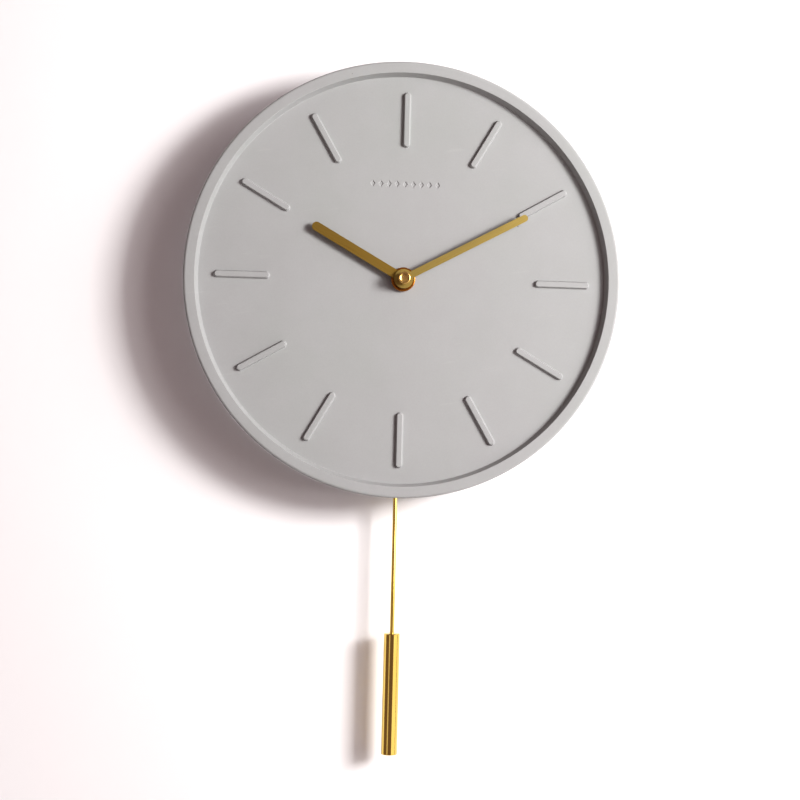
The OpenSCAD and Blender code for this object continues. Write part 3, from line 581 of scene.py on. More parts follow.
# Handling marks: soft smudges and fine straight scratches, for every metal piece.
marks_group, nodes, links, entry, leave = make_group(
    "handling marks",
    [("Vector", "NodeSocketVector", None), ("Size", "NodeSocketFloat", 60.0)],
    [("Smudge", "NodeSocketFloat"), ("Scratch", "NodeSocketFloat")])
smudge = nodes.new("ShaderNodeTexNoise")
smudge.inputs["Detail"].default_value = 4
links.new(entry.outputs["Vector"], smudge.inputs["Vector"])
links.new(entry.outputs["Size"], smudge.inputs["Scale"])
links.new(spread(nodes, links, smudge.outputs["Fac"], 0.3, 0.7, 0, 1), leave.inputs["Smudge"])
finer = nodes.new("ShaderNodeMath")
finer.operation = "MULTIPLY"
finer.inputs[1].default_value = 14
links.new(entry.outputs["Size"], finer.inputs[0])
scratch = nodes.new("ShaderNodeTexNoise")
scratch.inputs["Detail"].default_value = 2
links.new(entry.outputs["Vector"], scratch.inputs["Vector"])
links.new(finer.outputs[0], scratch.inputs["Scale"])
links.new(scratch.outputs["Fac"], leave.inputs["Scratch"])


def metal(name, colour, dark, roughness, dull, size, stretch=(1, 1, 1), turn=(0, 0, 0), depth=0.00002):
    """A metal between two colours and two roughnesses, with marks along its stretched direction."""
    material, nodes, links, shader = new_material(name)
    marks = nodes.new("ShaderNodeGroup")
    marks.node_tree = marks_group
    marks.inputs["Size"].default_value = size
    links.new(object_space(nodes, links, stretch, turn), marks.inputs["Vector"])
    links.new(tint(nodes, links, marks.outputs["Smudge"], colour, dark), shader.inputs["Base Color"])
    rough = spread(nodes, links, marks.outputs["Smudge"], 0, 1, roughness, dull)
    links.new(rough, shader.inputs["Roughness"])
    links.new(bump(nodes, links, marks.outputs["Scratch"], depth, 0.5), shader.inputs["Normal"])
    shader.inputs["Metallic"].default_value = 1
    return material


zinc = metal("zinc plate", (0.62, 0.63, 0.64), (0.47, 0.48, 0.50), 0.28, 0.45, 180)
key_hole = 0.0045
key_slot = 0.00225
slot_rise = 0.008
screw_head = 0.0028
sink_depth = 0.0012
plate = block("hanger_strip", plate_low, plate_high)
begin_edit(plate)
choose_edges(plate, lambda at, way: abs(way.y) > 0.9)
bpy.ops.mesh.bevel(offset=0.0015, segments=5)
end_edit()
hole = disc("hole", (0, 0), key_hole, plate_low.y - 0.001, plate_high.y + 0.001, 96)
slot = stadium("slot", (0, slot_rise / 2), 2 * key_slot, slot_rise + 2 * key_slot, plate_high.y + 0.001, 48)
begin_edit(slot)
bpy.ops.mesh.select_all(action="SELECT")
bpy.ops.mesh.extrude_region_move(TRANSFORM_OT_translate={"value": (0, -0.0035, 0)})
face_out()
end_edit()
combine(plate, hole, "DIFFERENCE")
combine(plate, slot, "DIFFERENCE")
for way in (-1, 1):
    centre = (way * plate_screw_x, plate_screw_z)
    sink = disc("sink", centre, 0.00155, plate_low.y - 0.001, -sink_depth, 48)
    begin_edit(sink)
    choose_faces(sink, lambda at, normal: normal.y > 0.9)
    pull_rings([(screw_head + fit, 0), (screw_head + fit, 0.001)], centre, 0.00155, -sink_depth)
    end_edit()
    combine(plate, sink, "DIFFERENCE")
round_edges(plate, 0.00018, 2, 40)
smooth(plate, 40)
settle(plate, "clock_case", "hanger_steel", zinc, "hanger_plate")


# Hanger screws: two countersunk steel screws, turned, with a pressed cross in the head and
# a rolled thread that bites in the boss. Their heads end just below the plate's face.
def cross_recess(centre, face, length, width, depth):
    """The cross that a driver fits, as a cutter: two tapered bars that meet at the centre."""
    bars = []
    for across, along in ((length, width), (width, length)):
        bar = block("recess", (centre[0] - across / 2, face - depth, centre[1] - along / 2),
                    (centre[0] + across / 2, face + 0.0005, centre[1] + along / 2))
        begin_edit(bar)
        choose_faces(bar, lambda at, normal: normal.y < -0.9)
        bpy.ops.transform.resize(value=(0.6, 1, 0.6), center_override=(centre[0], face, centre[1]))
        end_edit()
        bars.append(bar)
    return bars


def threaded(start_y, stop_y, core, crest, pitch):
    """Rings of a thread from the back to the tip, as (radius, y)."""
    rings = []
    y = start_y
    while y - pitch > stop_y:
        rings += [(core, y - 0.3 * pitch), (crest, y - 0.55 * pitch), (crest, y - 0.65 * pitch),
                  (core, y - 0.9 * pitch)]
        y -= pitch
    return rings


screw_steel = metal("screw steel", (0.66, 0.66, 0.67), (0.50, 0.50, 0.52), 0.22, 0.38, 400)
screw_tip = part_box("hanger_screws")[0].y
screws = []
for way in (-1, 1):
    centre = (way * plate_screw_x, plate_screw_z)
    screw = disc("hanger_screw", centre, screw_head - 0.0002, -0.00015, 0, 48)
    begin_edit(screw)
    choose_faces(screw, lambda at, normal: normal.y < -0.9)
    rings = [(screw_head - 0.0001, -0.0002), (0.0015, -sink_depth), (0.00125, -sink_depth - 0.0006)]
    rings += threaded(-sink_depth - 0.0006, screw_tip + 0.0014, 0.00115, 0.0015, 0.0009)
    rings += [(0.0011, screw_tip + 0.0012), (0.0003, screw_tip)]
    pull_rings(rings, centre, screw_head - 0.0002, -0.00015)
    face_out()
    end_edit()
    for bar in cross_recess(centre, 0, 0.0034, 0.0007, 0.0011):
        combine(screw, bar, "DIFFERENCE")
    smooth(screw, 40)
    screws.append(screw)
settle(join_all(screws, "hanger_screw_pair"), "clock_case", "screw_steel", screw_steel, "hanger_screws")

# Wall pads: two soft black rubber discs pressed in their sockets in the pad bosses. They
# keep the concrete off the wall, and each has a rounded edge and a shallow moulded ring.
skin_group, nodes, links, entry, leave = make_group(
    "moulded skin",
    [("Vector", "NodeSocketVector", None), ("Size", "NodeSocketFloat", 2500.0)],
    [("Cloud", "NodeSocketFloat"), ("Grain", "NodeSocketFloat")])
grain = nodes.new("ShaderNodeTexNoise")
grain.inputs["Detail"].default_value = 2
links.new(entry.outputs["Vector"], grain.inputs["Vector"])
links.new(entry.outputs["Size"], grain.inputs["Scale"])
links.new(grain.outputs["Fac"], leave.inputs["Grain"])
coarser = nodes.new("ShaderNodeMath")
coarser.operation = "MULTIPLY"
coarser.inputs[1].default_value = 0.03
links.new(entry.outputs["Size"], coarser.inputs[0])
flow = nodes.new("ShaderNodeTexNoise")
flow.inputs["Detail"].default_value = 3
links.new(entry.outputs["Vector"], flow.inputs["Vector"])
links.new(coarser.outputs[0], flow.inputs["Scale"])
links.new(spread(nodes, links, flow.outputs["Fac"], 0.3, 0.7, 0, 1), leave.inputs["Cloud"])


def moulding(name, colour, light, roughness, dull, size, depth=0.00003):
    """A moulded plastic or rubber with a fine skin and slow changes of tone and gloss."""
    material, nodes, links, shader = new_material(name)
    skin = nodes.new("ShaderNodeGroup")
    skin.node_tree = skin_group
    skin.inputs["Size"].default_value = size
    links.new(object_space(nodes, links), skin.inputs["Vector"])
    links.new(tint(nodes, links, skin.outputs["Cloud"], colour, light), shader.inputs["Base Color"])
    links.new(spread(nodes, links, skin.outputs["Cloud"], 0, 1, roughness, dull), shader.inputs["Roughness"])
    links.new(bump(nodes, links, skin.outputs["Grain"], depth, 0.5), shader.inputs["Normal"])
    return material


rubber = moulding("black rubber", (0.018, 0.018, 0.019), (0.03, 0.03, 0.031), 0.7, 0.85, 3000)
pads = []
for pad_centre in pad_centres:
    pad = disc("wall_pad", pad_centre, pad_radius - 0.0003, pads_low.y, pads_low.y + 0.0002, 72)
    begin_edit(pad)
    choose_faces(pad, lambda at, normal: normal.y > 0.9)
    rings = [(pad_radius, pads_low.y + 0.0005), (pad_radius, -0.0006)]
    rings += corner(pad_radius - 0.0006, -0.0006, 0.0006, 0, -90, 5)
    rings += [(pad_radius - 0.0016, 0), (pad_radius - 0.0019, -0.0003), (pad_radius - 0.0024, -0.0003),
              (pad_radius - 0.0027, 0), (0.0006, 0)]
    pull_rings(rings, pad_centre, pad_radius - 0.0003, pads_low.y + 0.0002)
    face_out()
    end_edit()
    smooth(pad, 35)
    pads.append(pad)
settle(join_all(pads, "wall_pads"), "clock_case", "pad_rubber", rubber, "wall_bumpers")


# Gasket and washer: a rubber ring between the movement and the back of the dial, and a thin
# brass ring in front of it. Both are cut from sheet, with slightly rounded edges.
def refined(node, name, width, segments=2, sharp=32):
    """A copy of a CAD node with its facets joined up and its edges rounded."""
    pick(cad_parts[node])
    bpy.ops.object.duplicate()
    piece = bpy.context.object
    piece.name = name
    for key in list(piece.keys()):
        del piece[key]
    piece.parent = None
    begin_edit(piece)
    bpy.ops.mesh.customdata_custom_splitnormals_clear()
    bpy.ops.mesh.select_all(action="SELECT")
    bpy.ops.mesh.remove_doubles(threshold=2e-6)
    bpy.ops.mesh.dissolve_limited(angle_limit=math.radians(0.5))
    bpy.ops.mesh.select_all(action="DESELECT")
    end_edit()
    round_edges(piece, width, segments, sharp)
    smooth(piece, sharp)
    return piece


turned_brass = metal("turned brass", (0.62, 0.40, 0.13), (0.50, 0.30, 0.09), 0.24, 0.36, 220)
settle(refined("rubber_gasket", "gasket_ring", 0.0001), "clock_case", "pad_rubber", rubber, "rubber_gasket")
washer = refined("dial_washer", "washer_ring", 0.0001)
settle(washer, "clock_case", "turned_brass", turned_brass, "dial_washer")

# Dial nut: a turned brass ring nut with a darker amber lacquer, screwed on the bushing from
# the front. It has a rounded outer edge and a shallow step round its threaded hole.
nut_lacquer = metal("amber brass", (0.46, 0.19, 0.035), (0.33, 0.12, 0.02), 0.20, 0.32, 260)
nut_low, nut_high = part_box("dial_nut")
nut_radius = (nut_high.x - nut_low.x) / 2
bush_radius = 0.00403
nut = disc("ring_nut", middle, nut_radius - 0.0004, nut_high.y - 0.0001, nut_high.y, 128)
begin_edit(nut)
choose_faces(nut, lambda at, normal: normal.y < -0.9)
rings = [(nut_radius, nut_high.y - 0.0005), (nut_radius, nut_low.y + 0.0006)]
rings += corner(nut_radius - 0.0006, nut_low.y + 0.0006, 0.0006, 0, 90, 6)
rings += [(bush_radius + 0.0016, nut_low.y), (bush_radius + 0.0013, nut_low.y + 0.0003),
          (bush_radius + 0.0004, nut_low.y + 0.0003)]
pull_rings(rings, middle, nut_radius - 0.0004, nut_high.y - 0.0001)
face_out()
end_edit()
combine(nut, disc("bore", middle, bush_radius, nut_low.y - 0.001, nut_high.y + 0.001, 96), "DIFFERENCE")
smooth(nut, 35)
settle(nut, "clock_case", "turned_brass", nut_lacquer, "dial_nut")

# Movement housing: a black moulded box with the threaded bushing on its front, a cell for
# the battery, and an open bay below that the pendulum's arm swings in.
black_plastic = moulding("black moulding", (0.016, 0.016, 0.018), (0.024, 0.024, 0.026), 0.38, 0.5, 2200)
housing = refined("movement_housing", "clock_box", 0.0003)
settle(housing, "clock_case", "housing_plastic", black_plastic, "movement_housing")

# Movement cover: the box's flat back, moulded in the same plastic, with a ring round the
# hole for the setting knob. Four small screws hold it to the posts inside.
cover = refined("movement_cover", "clock_box_cover", 0.00025)
settle(cover, "clock_case", "housing_plastic", black_plastic, "movement_cover")


# Small screws: steel pan heads with a pressed cross, four in the cover and three that hold
# the train bridge and the board to the box. Each is turned and then threaded.
def pan_screws(node, name, radius, head, centres, seat, tip):
    """Pan head screws along Y, with their seat and tip given, at the centres in x and z."""
    made = []
    head_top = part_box(node)[1].y
    for centre in centres:
        screw = disc(name, centre, head * 0.55, head_top - 0.00005, head_top, 32)
        begin_edit(screw)
        choose_faces(screw, lambda at, normal: normal.y < -0.9)
        rings = [(head * 0.82, head_top - 0.00016), (head * 0.96, head_top - 0.00034),
                 (head, head_top - 0.00055), (head, seat), (radius, seat)]
        rings += threaded(seat - 0.0004, tip + 0.0006, radius * 0.78, radius, 0.0005)
        rings += [(radius * 0.7, tip + 0.0004), (radius * 0.3, tip)]
        pull_rings(rings, centre, head * 0.55, head_top - 0.00005)
        face_out()
        end_edit()
        for bar in cross_recess(centre, head_top, head * 1.35, head * 0.27, 0.0005):
            combine(screw, bar, "DIFFERENCE")
        smooth(screw, 40)
        made.append(screw)
    return join_all(made, name)


small_screw = 0.0007
small_head = 0.0015
knob_ring_height = 0.0006
cover_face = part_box("movement_cover")[1].y - knob_ring_height
cover_centres = [(-0.026, 0.024), (-0.026, -0.024), (0.003, 0.0242), (0.003, -0.0242)]
cover_centres = [(dial_x + x, dial_z + z) for x, z in cover_centres]
screws = pan_screws("cover_screws", "cover_screw_set", small_screw, small_head, cover_centres,
                    cover_face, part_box("cover_screws")[0].y)
settle(screws, "clock_case", "screw_steel", screw_steel, "cover_screws")
board_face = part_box("circuit_board")[1].y
train_centres = [(0.009, 0.0225), (0.009, -0.0225), (-0.017, -0.0225)]
train_centres = [(dial_x + x, dial_z + z) for x, z in train_centres]
screws = pan_screws("train_screws", "train_screw_set", small_screw, small_head, train_centres,
                    board_face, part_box("train_screws")[0].y)
settle(screws, "clock_case", "screw_steel", screw_steel, "train_screws")

# Setting knob: a pale ribbed knob on the minute wheel's arbor, moulded in nylon, with an
# arrow pressed in its face. It sets the hands from behind.
nylon = moulding("pale nylon", (0.66, 0.64, 0.57), (0.72, 0.70, 0.64), 0.40, 0.52, 1800)
knob = refined("setting_knob", "hand_setting_knob", 0.00012)
settle(knob, "setting_set", "gear_nylon", nylon, "setting_knob")

# Battery: one plain cell in a matt wrap, with crimped silver ends and a button at the top.
# The wrap's ends are rolled over the can, and it carries no marking but a pale band.
wrap, nodes, links, shader = new_material("battery wrap")
skin = nodes.new("ShaderNodeGroup")
skin.node_tree = skin_group
skin.inputs["Size"].default_value = 1500
space = object_space(nodes, links)
links.new(space, skin.inputs["Vector"])
cell_low, cell_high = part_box("battery")
axes = nodes.new("ShaderNodeSeparateXYZ")
links.new(space, axes.inputs[0])
height = axes.outputs["Z"]
band_top = cell_high.z - 0.004
band_low = band_top - 0.006
above = spread(nodes, links, height, band_low - 0.0001, band_low + 0.0001, 0, 1)
below = spread(nodes, links, height, band_top - 0.0001, band_top + 0.0001, 1, 0)
band = nodes.new("ShaderNodeMath")
band.operation = "MULTIPLY"
links.new(above, band.inputs[0])
links.new(below, band.inputs[1])
colour = tint(nodes, links, skin.outputs["Cloud"], (0.045, 0.085, 0.10), (0.055, 0.10, 0.12))
colour = tint(nodes, links, band.outputs[0], colour, (0.50, 0.52, 0.50))
links.new(colour, shader.inputs["Base Color"])
links.new(spread(nodes, links, skin.outputs["Cloud"], 0, 1, 0.26, 0.36), shader.inputs["Roughness"])
links.new(bump(nodes, links, skin.outputs["Grain"], 0.00002, 0.4), shader.inputs["Normal"])
cell_radius = (cell_high.x - cell_low.x) / 2
cell_x = (cell_high.x + cell_low.x) / 2
cell_y = (cell_high.y + cell_low.y) / 2


def upright(name, x, y, radius, low, high, sides):
    """A round blank along Z."""
    bpy.ops.object.select_all(action="DESELECT")
    bpy.ops.mesh.primitive_cylinder_add(
        vertices=sides, radius=radius, depth=high - low, location=(x, y, (low + high) / 2))
    bpy.context.object.name = name
    return place(bpy.context.object)


def pull_up(rings, x, y, radius, z):
    """Draws the selected round face through each (radius, z) of a turned profile along Z."""
    for ring_radius, ring_z in rings:
        bpy.ops.mesh.extrude_region_move(TRANSFORM_OT_translate={"value": (0, 0, ring_z - z)})
        grow = ring_radius / radius
        bpy.ops.transform.resize(value=(grow, grow, 1), center_override=(x, y, ring_z))
        radius, z = ring_radius, ring_z


cell = upright("battery_cell", cell_x, cell_y, cell_radius - 0.0011, cell_low.z, cell_low.z + 0.0001, 96)
begin_edit(cell)
choose_faces(cell, lambda at, normal: normal.z > 0.9)
rings = [(cell_radius - 0.0008, cell_low.z + 0.0003), (cell_radius - 0.0002, cell_low.z + 0.00005),
         (cell_radius, cell_low.z + 0.0006), (cell_radius, cell_low.z + 0.004),
         (cell_radius, cell_high.z - 0.0025), (cell_radius - 0.00035, cell_high.z - 0.0022),
         (cell_radius - 0.00035, cell_high.z - 0.0019), (cell_radius, cell_high.z - 0.0016),
         (cell_radius, cell_high.z - 0.0006), (cell_radius - 0.0004, cell_high.z - 0.0001),
         (cell_radius - 0.001, cell_high.z), (cell_radius - 0.0014, cell_high.z - 0.0003),
         (0.004, cell_high.z - 0.0003), (0.0032, cell_high.z)]
pull_up(rings, cell_x, cell_y, cell_radius - 0.0011, cell_low.z + 0.0001)
face_out()
end_edit()
smooth(cell, 40)
settle(cell, "battery_set", "battery_jacket", wrap, "battery")
cell.data.materials.append(zinc)
for face in cell.data.polygons:
    reach = math.hypot(face.center.x - cell_x, face.center.y - cell_y)
    if reach < cell_radius - 0.0009:
        face.material_index = 1
button_low, button_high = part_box("battery_button")
button_radius = (button_high.x - button_low.x) / 2
button = upright("battery_tip", cell_x, cell_y, button_radius, button_low.z, button_low.z + 0.0001, 64)
begin_edit(button)
choose_faces(button, lambda at, normal: normal.z > 0.9)
pull_up([(button_radius, button_low.z + 0.0002), (button_radius - 0.0001, button_high.z - 0.0004),
         (button_radius - 0.0004, button_high.z - 0.00005), (button_radius - 0.0009, button_high.z),
         (0.0004, button_high.z)], cell_x, cell_y, button_radius, button_low.z + 0.0001)
face_out()
end_edit()
smooth(button, 40)
settle(button, "battery_set", "screw_steel", zinc, "battery_button")

# Battery contacts: springy nickelled strips at the two ends of the cell, bent over the wall
# to the board. The lower one has a coned spring that presses the cell up.
nickel = metal("nickelled strip", (0.64, 0.62, 0.58), (0.50, 0.48, 0.45), 0.2, 0.34, 300)
upper_contact = refined("contact_plus", "upper_contact", 0.00008)
settle(upper_contact, "clock_case", "hanger_steel", nickel, "contact_plus")
strip = refined("contact_minus", "lower_contact", 0.00005)
settle(strip, "clock_case", "hanger_steel", nickel, "contact_minus")


# Hands: straight strips of sheet brass with a round tip and a round hub, stamped, brushed
# along their length and lacquered. Each is pressed on its own pipe, and the edges catch light.
def hand(name, node, angle, width, length, bore, hub):
    """A straight hand of the given angle, clockwise from twelve in degrees."""
    low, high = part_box(node)
    blade = stadium(name, (dial_x, dial_z + (length - width / 2) / 2), width, length + width / 2, low.y, 48)
    begin_edit(blade)
    bpy.ops.mesh.select_all(action="SELECT")
    bpy.ops.mesh.extrude_region_move(TRANSFORM_OT_translate={"value": (0, high.y - low.y, 0)})
    face_out()
    end_edit()
    combine(blade, disc("hub", middle, hub, low.y, high.y, 128), "UNION")
    combine(blade, disc("bore", middle, bore, low.y - 0.001, high.y + 0.001, 64), "DIFFERENCE")
    round_edges(blade, 0.00016, 2, 40)
    begin_edit(blade)
    bpy.ops.mesh.select_all(action="SELECT")
    bpy.ops.transform.rotate(value=-math.radians(angle), orient_axis="Y", center_override=dial_centre)
    end_edit()
    smooth(blade, 35)
    return blade


hub_radius = 0.0066
hour_angle = 299.5
minute_angle = 61.7
brushed_along = (1, 1, 8)
# The two hands wear lit and shaded copies of one brass: the hour hand's darker colour is painted shade, and
# the minute hand's lighter colour is a painted brighter reflection.
shaded_hour_brass = metal("brushed brass of the hour hand, darkened as painted shade", (0.385, 0.262, 0.065), (0.235, 0.148, 0.032),
                   0.34, 0.46, 200, brushed_along, (0, math.radians(hour_angle), 0))
lit_minute_brass = metal("brushed brass of the minute hand", (0.47, 0.366, 0.124), (0.31, 0.225, 0.068),
                     0.32, 0.44, 200, brushed_along, (0, math.radians(minute_angle), 0))
settle(hand("hour_pointer", "hour_hand", hour_angle, 0.0062, 0.0725, 0.00251, hub_radius),
       "hour_set", "hand_brass", shaded_hour_brass, "hour_hand")
settle(hand("minute_pointer", "minute_hand", minute_angle, 0.0048, 0.096, 0.00171, hub_radius),
       "minute_set", "hand_brass", lit_minute_brass, "minute_hand")

# Cap nut: a small turned brass cap screwed on the end of the minute pipe. The lathe leaves
# fine rings on its face, which fan the light out, and a bright chamfer round it.
cap_brass, nodes, links, shader = new_material("faced brass")
marks = nodes.new("ShaderNodeGroup")
marks.node_tree = marks_group
marks.inputs["Size"].default_value = 300
space = object_space(nodes, links)
links.new(space, marks.inputs["Vector"])
colour = tint(nodes, links, marks.outputs["Smudge"], (0.78, 0.54, 0.20), (0.66, 0.42, 0.13))
links.new(colour, shader.inputs["Base Color"])
links.new(spread(nodes, links, marks.outputs["Smudge"], 0, 1, 0.16, 0.26), shader.inputs["Roughness"])
rings_of_turning = nodes.new("ShaderNodeTexWave")
rings_of_turning.wave_type = "RINGS"
rings_of_turning.rings_direction = "Y"
rings_of_turning.inputs["Scale"].default_value = 900
centred = nodes.new("ShaderNodeMapping")
centred.inputs["Location"].default_value = (-dial_x, 0, -dial_z)
links.new(space, centred.inputs["Vector"])
links.new(centred.outputs["Vector"], rings_of_turning.inputs["Vector"])
links.new(bump(nodes, links, rings_of_turning.outputs["Fac"], 0.00002, 0.6), shader.inputs["Normal"])
shader.inputs["Metallic"].default_value = 1
cap_low, cap_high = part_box("cap_nut")
cap_radius = (cap_high.x - cap_low.x) / 2
cap = disc("turned_cap", middle, cap_radius - 0.0002, cap_high.y - 0.0001, cap_high.y, 96)
begin_edit(cap)
choose_faces(cap, lambda at, normal: normal.y < -0.9)
rings = [(cap_radius, cap_high.y - 0.0003), (cap_radius, cap_high.y - 0.0012),
         (cap_radius - 0.00025, cap_high.y - 0.0014), (cap_radius - 0.00025, cap_high.y - 0.0017),
         (cap_radius, cap_high.y - 0.0019), (cap_radius, cap_low.y + 0.0006)]
rings += corner(cap_radius - 0.0006, cap_low.y + 0.0006, 0.0006, 0, 90, 5)
rings += [(cap_radius - 0.0011, cap_low.y), (cap_radius - 0.0014, cap_low.y + 0.00018),
          (cap_radius - 0.0022, cap_low.y + 0.00022), (0.0006, cap_low.y + 0.0003)]
pull_rings(rings, middle, cap_radius - 0.0002, cap_high.y - 0.0001)
face_out()
end_edit()
pipe_bore = disc("pipe_bore", middle, 0.00173, cap_high.y - 0.0034, cap_high.y + 0.001, 64)
combine(cap, pipe_bore, "DIFFERENCE")
smooth(cap, 40)
settle(cap, "minute_set", "turned_brass", cap_brass, "cap_nut")

# Motion work and going train: nylon wheels on their arbors inside the sealed box, moulded
# with their pinions. The rotor is a small magnet on the last pinion.
wheel_bodies = {
    "hour_wheel": "hour_set", "cannon_pinion": "minute_set", "minute_wheel": "setting_set",
    "centre_wheel": "centre_set", "third_wheel": "third_set", "seconds_wheel": "seconds_set",
    "intermediate_wheel": "intermediate_set", "rotor_pinion": "rotor_set"}
for node, body in wheel_bodies.items():
    settle(refined(node, node + "_moulding", 0.00006, 1, 50), body, "gear_nylon", nylon, node)
ferrite = moulding("ferrite", (0.06, 0.06, 0.063), (0.085, 0.085, 0.09), 0.4, 0.55, 2600)
settle(refined("rotor_magnet", "rotor_ring", 0.00012), "rotor_set", "magnet", ferrite, "rotor_magnet")

# Motor: a stator of soft iron sheets, a paper bobbin on its core and a fine copper winding.
# The winding drives the rotor half a turn at each pulse.
iron = metal("stator iron", (0.38, 0.38, 0.40), (0.28, 0.28, 0.30), 0.3, 0.42, 200, (1, 0.03, 1))
settle(refined("stator", "stator_sheets", 0.00008), "clock_case", "stator_steel", iron, "stator")
paper = moulding("bobbin paper", (0.42, 0.30, 0.14), (0.50, 0.37, 0.19), 0.6, 0.75, 1500)
settle(refined("coil_core", "coil_former", 0.00006), "clock_case", "stator_steel", paper, "coil_core")


def winding(name, direction, turns_per_metre):
    """Lacquered copper wire, wound so that its turns lie along one direction, with painted shade in the
    grooves between turns.
    """
    material, nodes, links, shader = new_material(name)
    turns_and_shade = nodes.new("ShaderNodeTexWave")
    turns_and_shade.bands_direction = direction
    turns_and_shade.inputs["Scale"].default_value = turns_per_metre / 20
    turns_and_shade.inputs["Distortion"].default_value = 0.4
    links.new(object_space(nodes, links), turns_and_shade.inputs["Vector"])
    # The darker bands between the turns are painted shade, and the lighter bands are the lit turns.
    links.new(tint(nodes, links, turns_and_shade.outputs["Fac"], (0.30, 0.09, 0.03), (0.62, 0.25, 0.10)),
              shader.inputs["Base Color"])
    links.new(spread(nodes, links, turns_and_shade.outputs["Fac"], 0, 1, 0.45, 0.25), shader.inputs["Roughness"])
    links.new(bump(nodes, links, turns_and_shade.outputs["Fac"], 0.00006, 0.8), shader.inputs["Normal"])
    shader.inputs["Metallic"].default_value = 1
    return material


settle(refined("motor_coil", "motor_winding", 0.0002), "clock_case", "copper_wire",
       winding("motor wire", "Z", 12000), "motor_coil")

# Train bridge: a plain nylon plate that holds the back ends of the arbors. It stands on
# three posts, and the board sits on it.
settle(refined("train_bridge", "arbor_bridge", 0.00012), "clock_case", "gear_nylon", nylon, "train_bridge")

# Circuit board: thin green laminate with the chip, the crystal can and copper under its
# lacquer. The chip counts the crystal down to one pulse a second.
laminate, nodes, links, shader = new_material("board laminate")
space = object_space(nodes, links)
cells = nodes.new("ShaderNodeTexVoronoi")
cells.feature = "DISTANCE_TO_EDGE"
cells.inputs["Scale"].default_value = 260
links.new(space, cells.inputs["Vector"])
tracks = spread(nodes, links, cells.outputs["Distance"], 0.04, 0.07, 0, 1)
weave = noise(nodes, links, space, 3500, 1)
colour = tint(nodes, links, tracks, (0.04, 0.17, 0.06), (0.015, 0.085, 0.035))
colour = tint(nodes, links, spread(nodes, links, weave, 0.4, 0.7, 0, 0.35), colour, (0.06, 0.16, 0.08))
links.new(colour, shader.inputs["Base Color"])
links.new(spread(nodes, links, weave, 0.3, 0.7, 0.3, 0.42), shader.inputs["Roughness"])
links.new(bump(nodes, links, tracks, 0.00003, 0.6), shader.inputs["Normal"])
settle(refined("circuit_board", "clock_board", 0.00006), "clock_case", "board", laminate, "circuit_board")
resin = moulding("chip resin", (0.012, 0.012, 0.013), (0.02, 0.02, 0.021), 0.45, 0.6, 5000)
settle(refined("clock_chip", "pulse_chip", 0.00006), "clock_case", "chip_black", resin, "clock_chip")
crystal = refined("quartz_crystal", "crystal_can", 0.0001)
settle(crystal, "clock_case", "hanger_steel", nickel, "quartz_crystal")

# Pendulum drive: a coil on a nylon bobbin in the bay pushes the magnet in the swinging arm.
# The arm turns on a steel pin held by the housing's two ears, and ends in a collared peg.
settle(refined("swing_pin", "arm_pin", 0.00015), "clock_case", "screw_steel", screw_steel, "swing_pin")
settle(refined("drive_bobbin", "drive_former", 0.0001), "clock_case", "gear_nylon", nylon, "drive_bobbin")
coil_low, coil_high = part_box("drive_coil")
coil_radius = (coil_high.x - coil_low.x) / 2
coil_centre = ((coil_high.x + coil_low.x) / 2, (coil_high.z + coil_low.z) / 2)
coil_bore = 0.002
coil_layers = 13
wire = (coil_high.y - coil_low.y) / coil_layers
coil = disc("drive_winding", coil_centre, coil_radius - wire / 2, coil_high.y - 0.00002, coil_high.y, 72)
begin_edit(coil)
choose_faces(coil, lambda at, normal: normal.y < -0.9)
rings = []
for layer in range(coil_layers):
    back = coil_high.y - layer * wire
    rings += [(coil_radius - wire * 0.16, back - wire * 0.2), (coil_radius, back - wire * 0.5),
              (coil_radius - wire * 0.16, back - wire * 0.8), (coil_radius - wire * 0.42, back - wire)]
rings.append((coil_bore + 0.0005, coil_low.y))
pull_rings(rings, coil_centre, coil_radius - wire / 2, coil_high.y - 0.00002)
face_out()
end_edit()
combine(coil, disc("bore", coil_centre, coil_bore, coil_low.y - 0.001, coil_high.y + 0.001, 48), "DIFFERENCE")
smooth(coil, 50)
settle(coil, "clock_case", "copper_wire", winding("drive wire", "Y", 2500), "drive_coil")
settle(refined("pendulum_arm", "swing_arm", 0.0003), "pendulum", "gear_nylon", nylon, "pendulum_arm")
magnet_plate = metal("plated magnet", (0.50, 0.50, 0.50), (0.38, 0.38, 0.39), 0.2, 0.35, 400)
settle(refined("arm_magnet", "arm_magnet_disc", 0.0003), "pendulum", "magnet", magnet_plate, "arm_magnet")

# Pendulum rod and eye: a straight brass rod riveted in a flattened eye that hangs on the
# arm's peg. Both are polished and lacquered, and the rod runs down through the notch.
polished = metal("polished brass", (0.86, 0.65, 0.19), (0.79, 0.56, 0.145), 0.07, 0.13, 90, (1, 1, 5),
                 depth=0.000003)
settle(refined("pendulum_eye", "hook_eye", 0.00018), "pendulum", "polished_brass", polished, "pendulum_eye")
rod_low, rod_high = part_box("pendulum_rod")
rod_radius = (rod_high.x - rod_low.x) / 2
rod_x = (rod_high.x + rod_low.x) / 2
rod_y = (rod_high.y + rod_low.y) / 2
rod = upright("swing_rod", rod_x, rod_y, rod_radius - 0.0002, rod_low.z, rod_low.z + 0.00005, 64)
begin_edit(rod)
choose_faces(rod, lambda at, normal: normal.z > 0.9)
rings = [(rod_radius, rod_low.z + 0.0003)]
rings += [(rod_radius, rod_low.z + (rod_high.z - rod_low.z) * step / 8) for step in range(1, 8)]
rings += [(rod_radius, rod_high.z - 0.0003), (rod_radius - 0.0002, rod_high.z)]
pull_up(rings, rod_x, rod_y, rod_radius - 0.0002, rod_low.z + 0.00005)
face_out()
end_edit()
smooth(rod, 40)
settle(rod, "pendulum", "polished_brass", polished, "pendulum_rod")

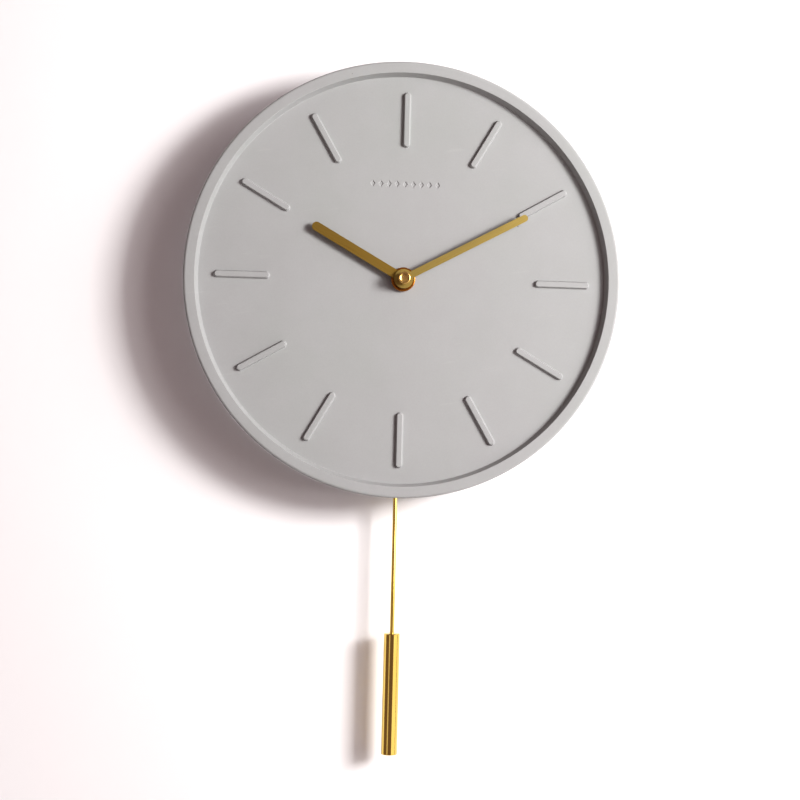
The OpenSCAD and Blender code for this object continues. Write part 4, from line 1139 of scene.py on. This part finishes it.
# Bob: a polished brass tube closed by two turned plugs with a small bright chamfer. The
# rod is fixed in the upper plug.
tube_low, tube_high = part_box("bob_tube")
tube_radius = (tube_high.x - tube_low.x) / 2
tube_wall = 0.001
caps_low, caps_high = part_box("bob_caps")
tube = upright("bob_sleeve", rod_x, rod_y, tube_radius - 0.00008, tube_low.z, tube_low.z + 0.00002, 160)
begin_edit(tube)
choose_faces(tube, lambda at, normal: normal.z > 0.9)
rings = [(tube_radius, tube_low.z + 0.0001)]
rings += [(tube_radius, tube_low.z + (tube_high.z - tube_low.z) * step / 6) for step in range(1, 6)]
rings += [(tube_radius, tube_high.z - 0.0001), (tube_radius - 0.00008, tube_high.z)]
pull_up(rings, rod_x, rod_y, tube_radius - 0.00008, tube_low.z + 0.00002)
face_out()
end_edit()
combine(tube, upright("bore", rod_x, rod_y, tube_radius - tube_wall, tube_low.z - 0.001,
                      tube_high.z + 0.001, 96), "DIFFERENCE")
smooth(tube, 35)
settle(tube, "pendulum", "polished_brass", polished, "bob_tube")

plug_length = 0.007
plug_radius = tube_radius - tube_wall - 0.00001
plugs = []
for way, edge, seam in ((1, caps_high.z, tube_high.z), (-1, caps_low.z, tube_low.z)):
    inner_end = edge - way * plug_length
    plug = upright("bob_plug", rod_x, rod_y, plug_radius, min(inner_end, seam), max(inner_end, seam), 128)
    begin_edit(plug)
    choose_faces(plug, lambda at, normal, way=way: way * normal.z > 0.9)
    rings = [(tube_radius - 0.00004, seam), (tube_radius, seam + way * 0.00004),
             (tube_radius - 0.0001, seam + way * 0.00018), (tube_radius - 0.0004, edge)]
    rings += [(tube_radius - 0.0018, edge), (tube_radius - 0.0019, edge - way * 0.00008)]
    pull_up(rings, rod_x, rod_y, plug_radius, seam)
    face_out()
    end_edit()
    plugs.append(plug)
rod_hole = upright("rod_hole", rod_x, rod_y, rod_radius + 0.00001, caps_high.z - plug_length + 0.001,
                   caps_high.z + 0.001, 64)
combine(plugs[0], rod_hole, "DIFFERENCE")
plugs = join_all(plugs, "bob_plugs")
smooth(plugs, 35)
settle(plugs, "pendulum", "polished_brass", polished, "bob_caps")
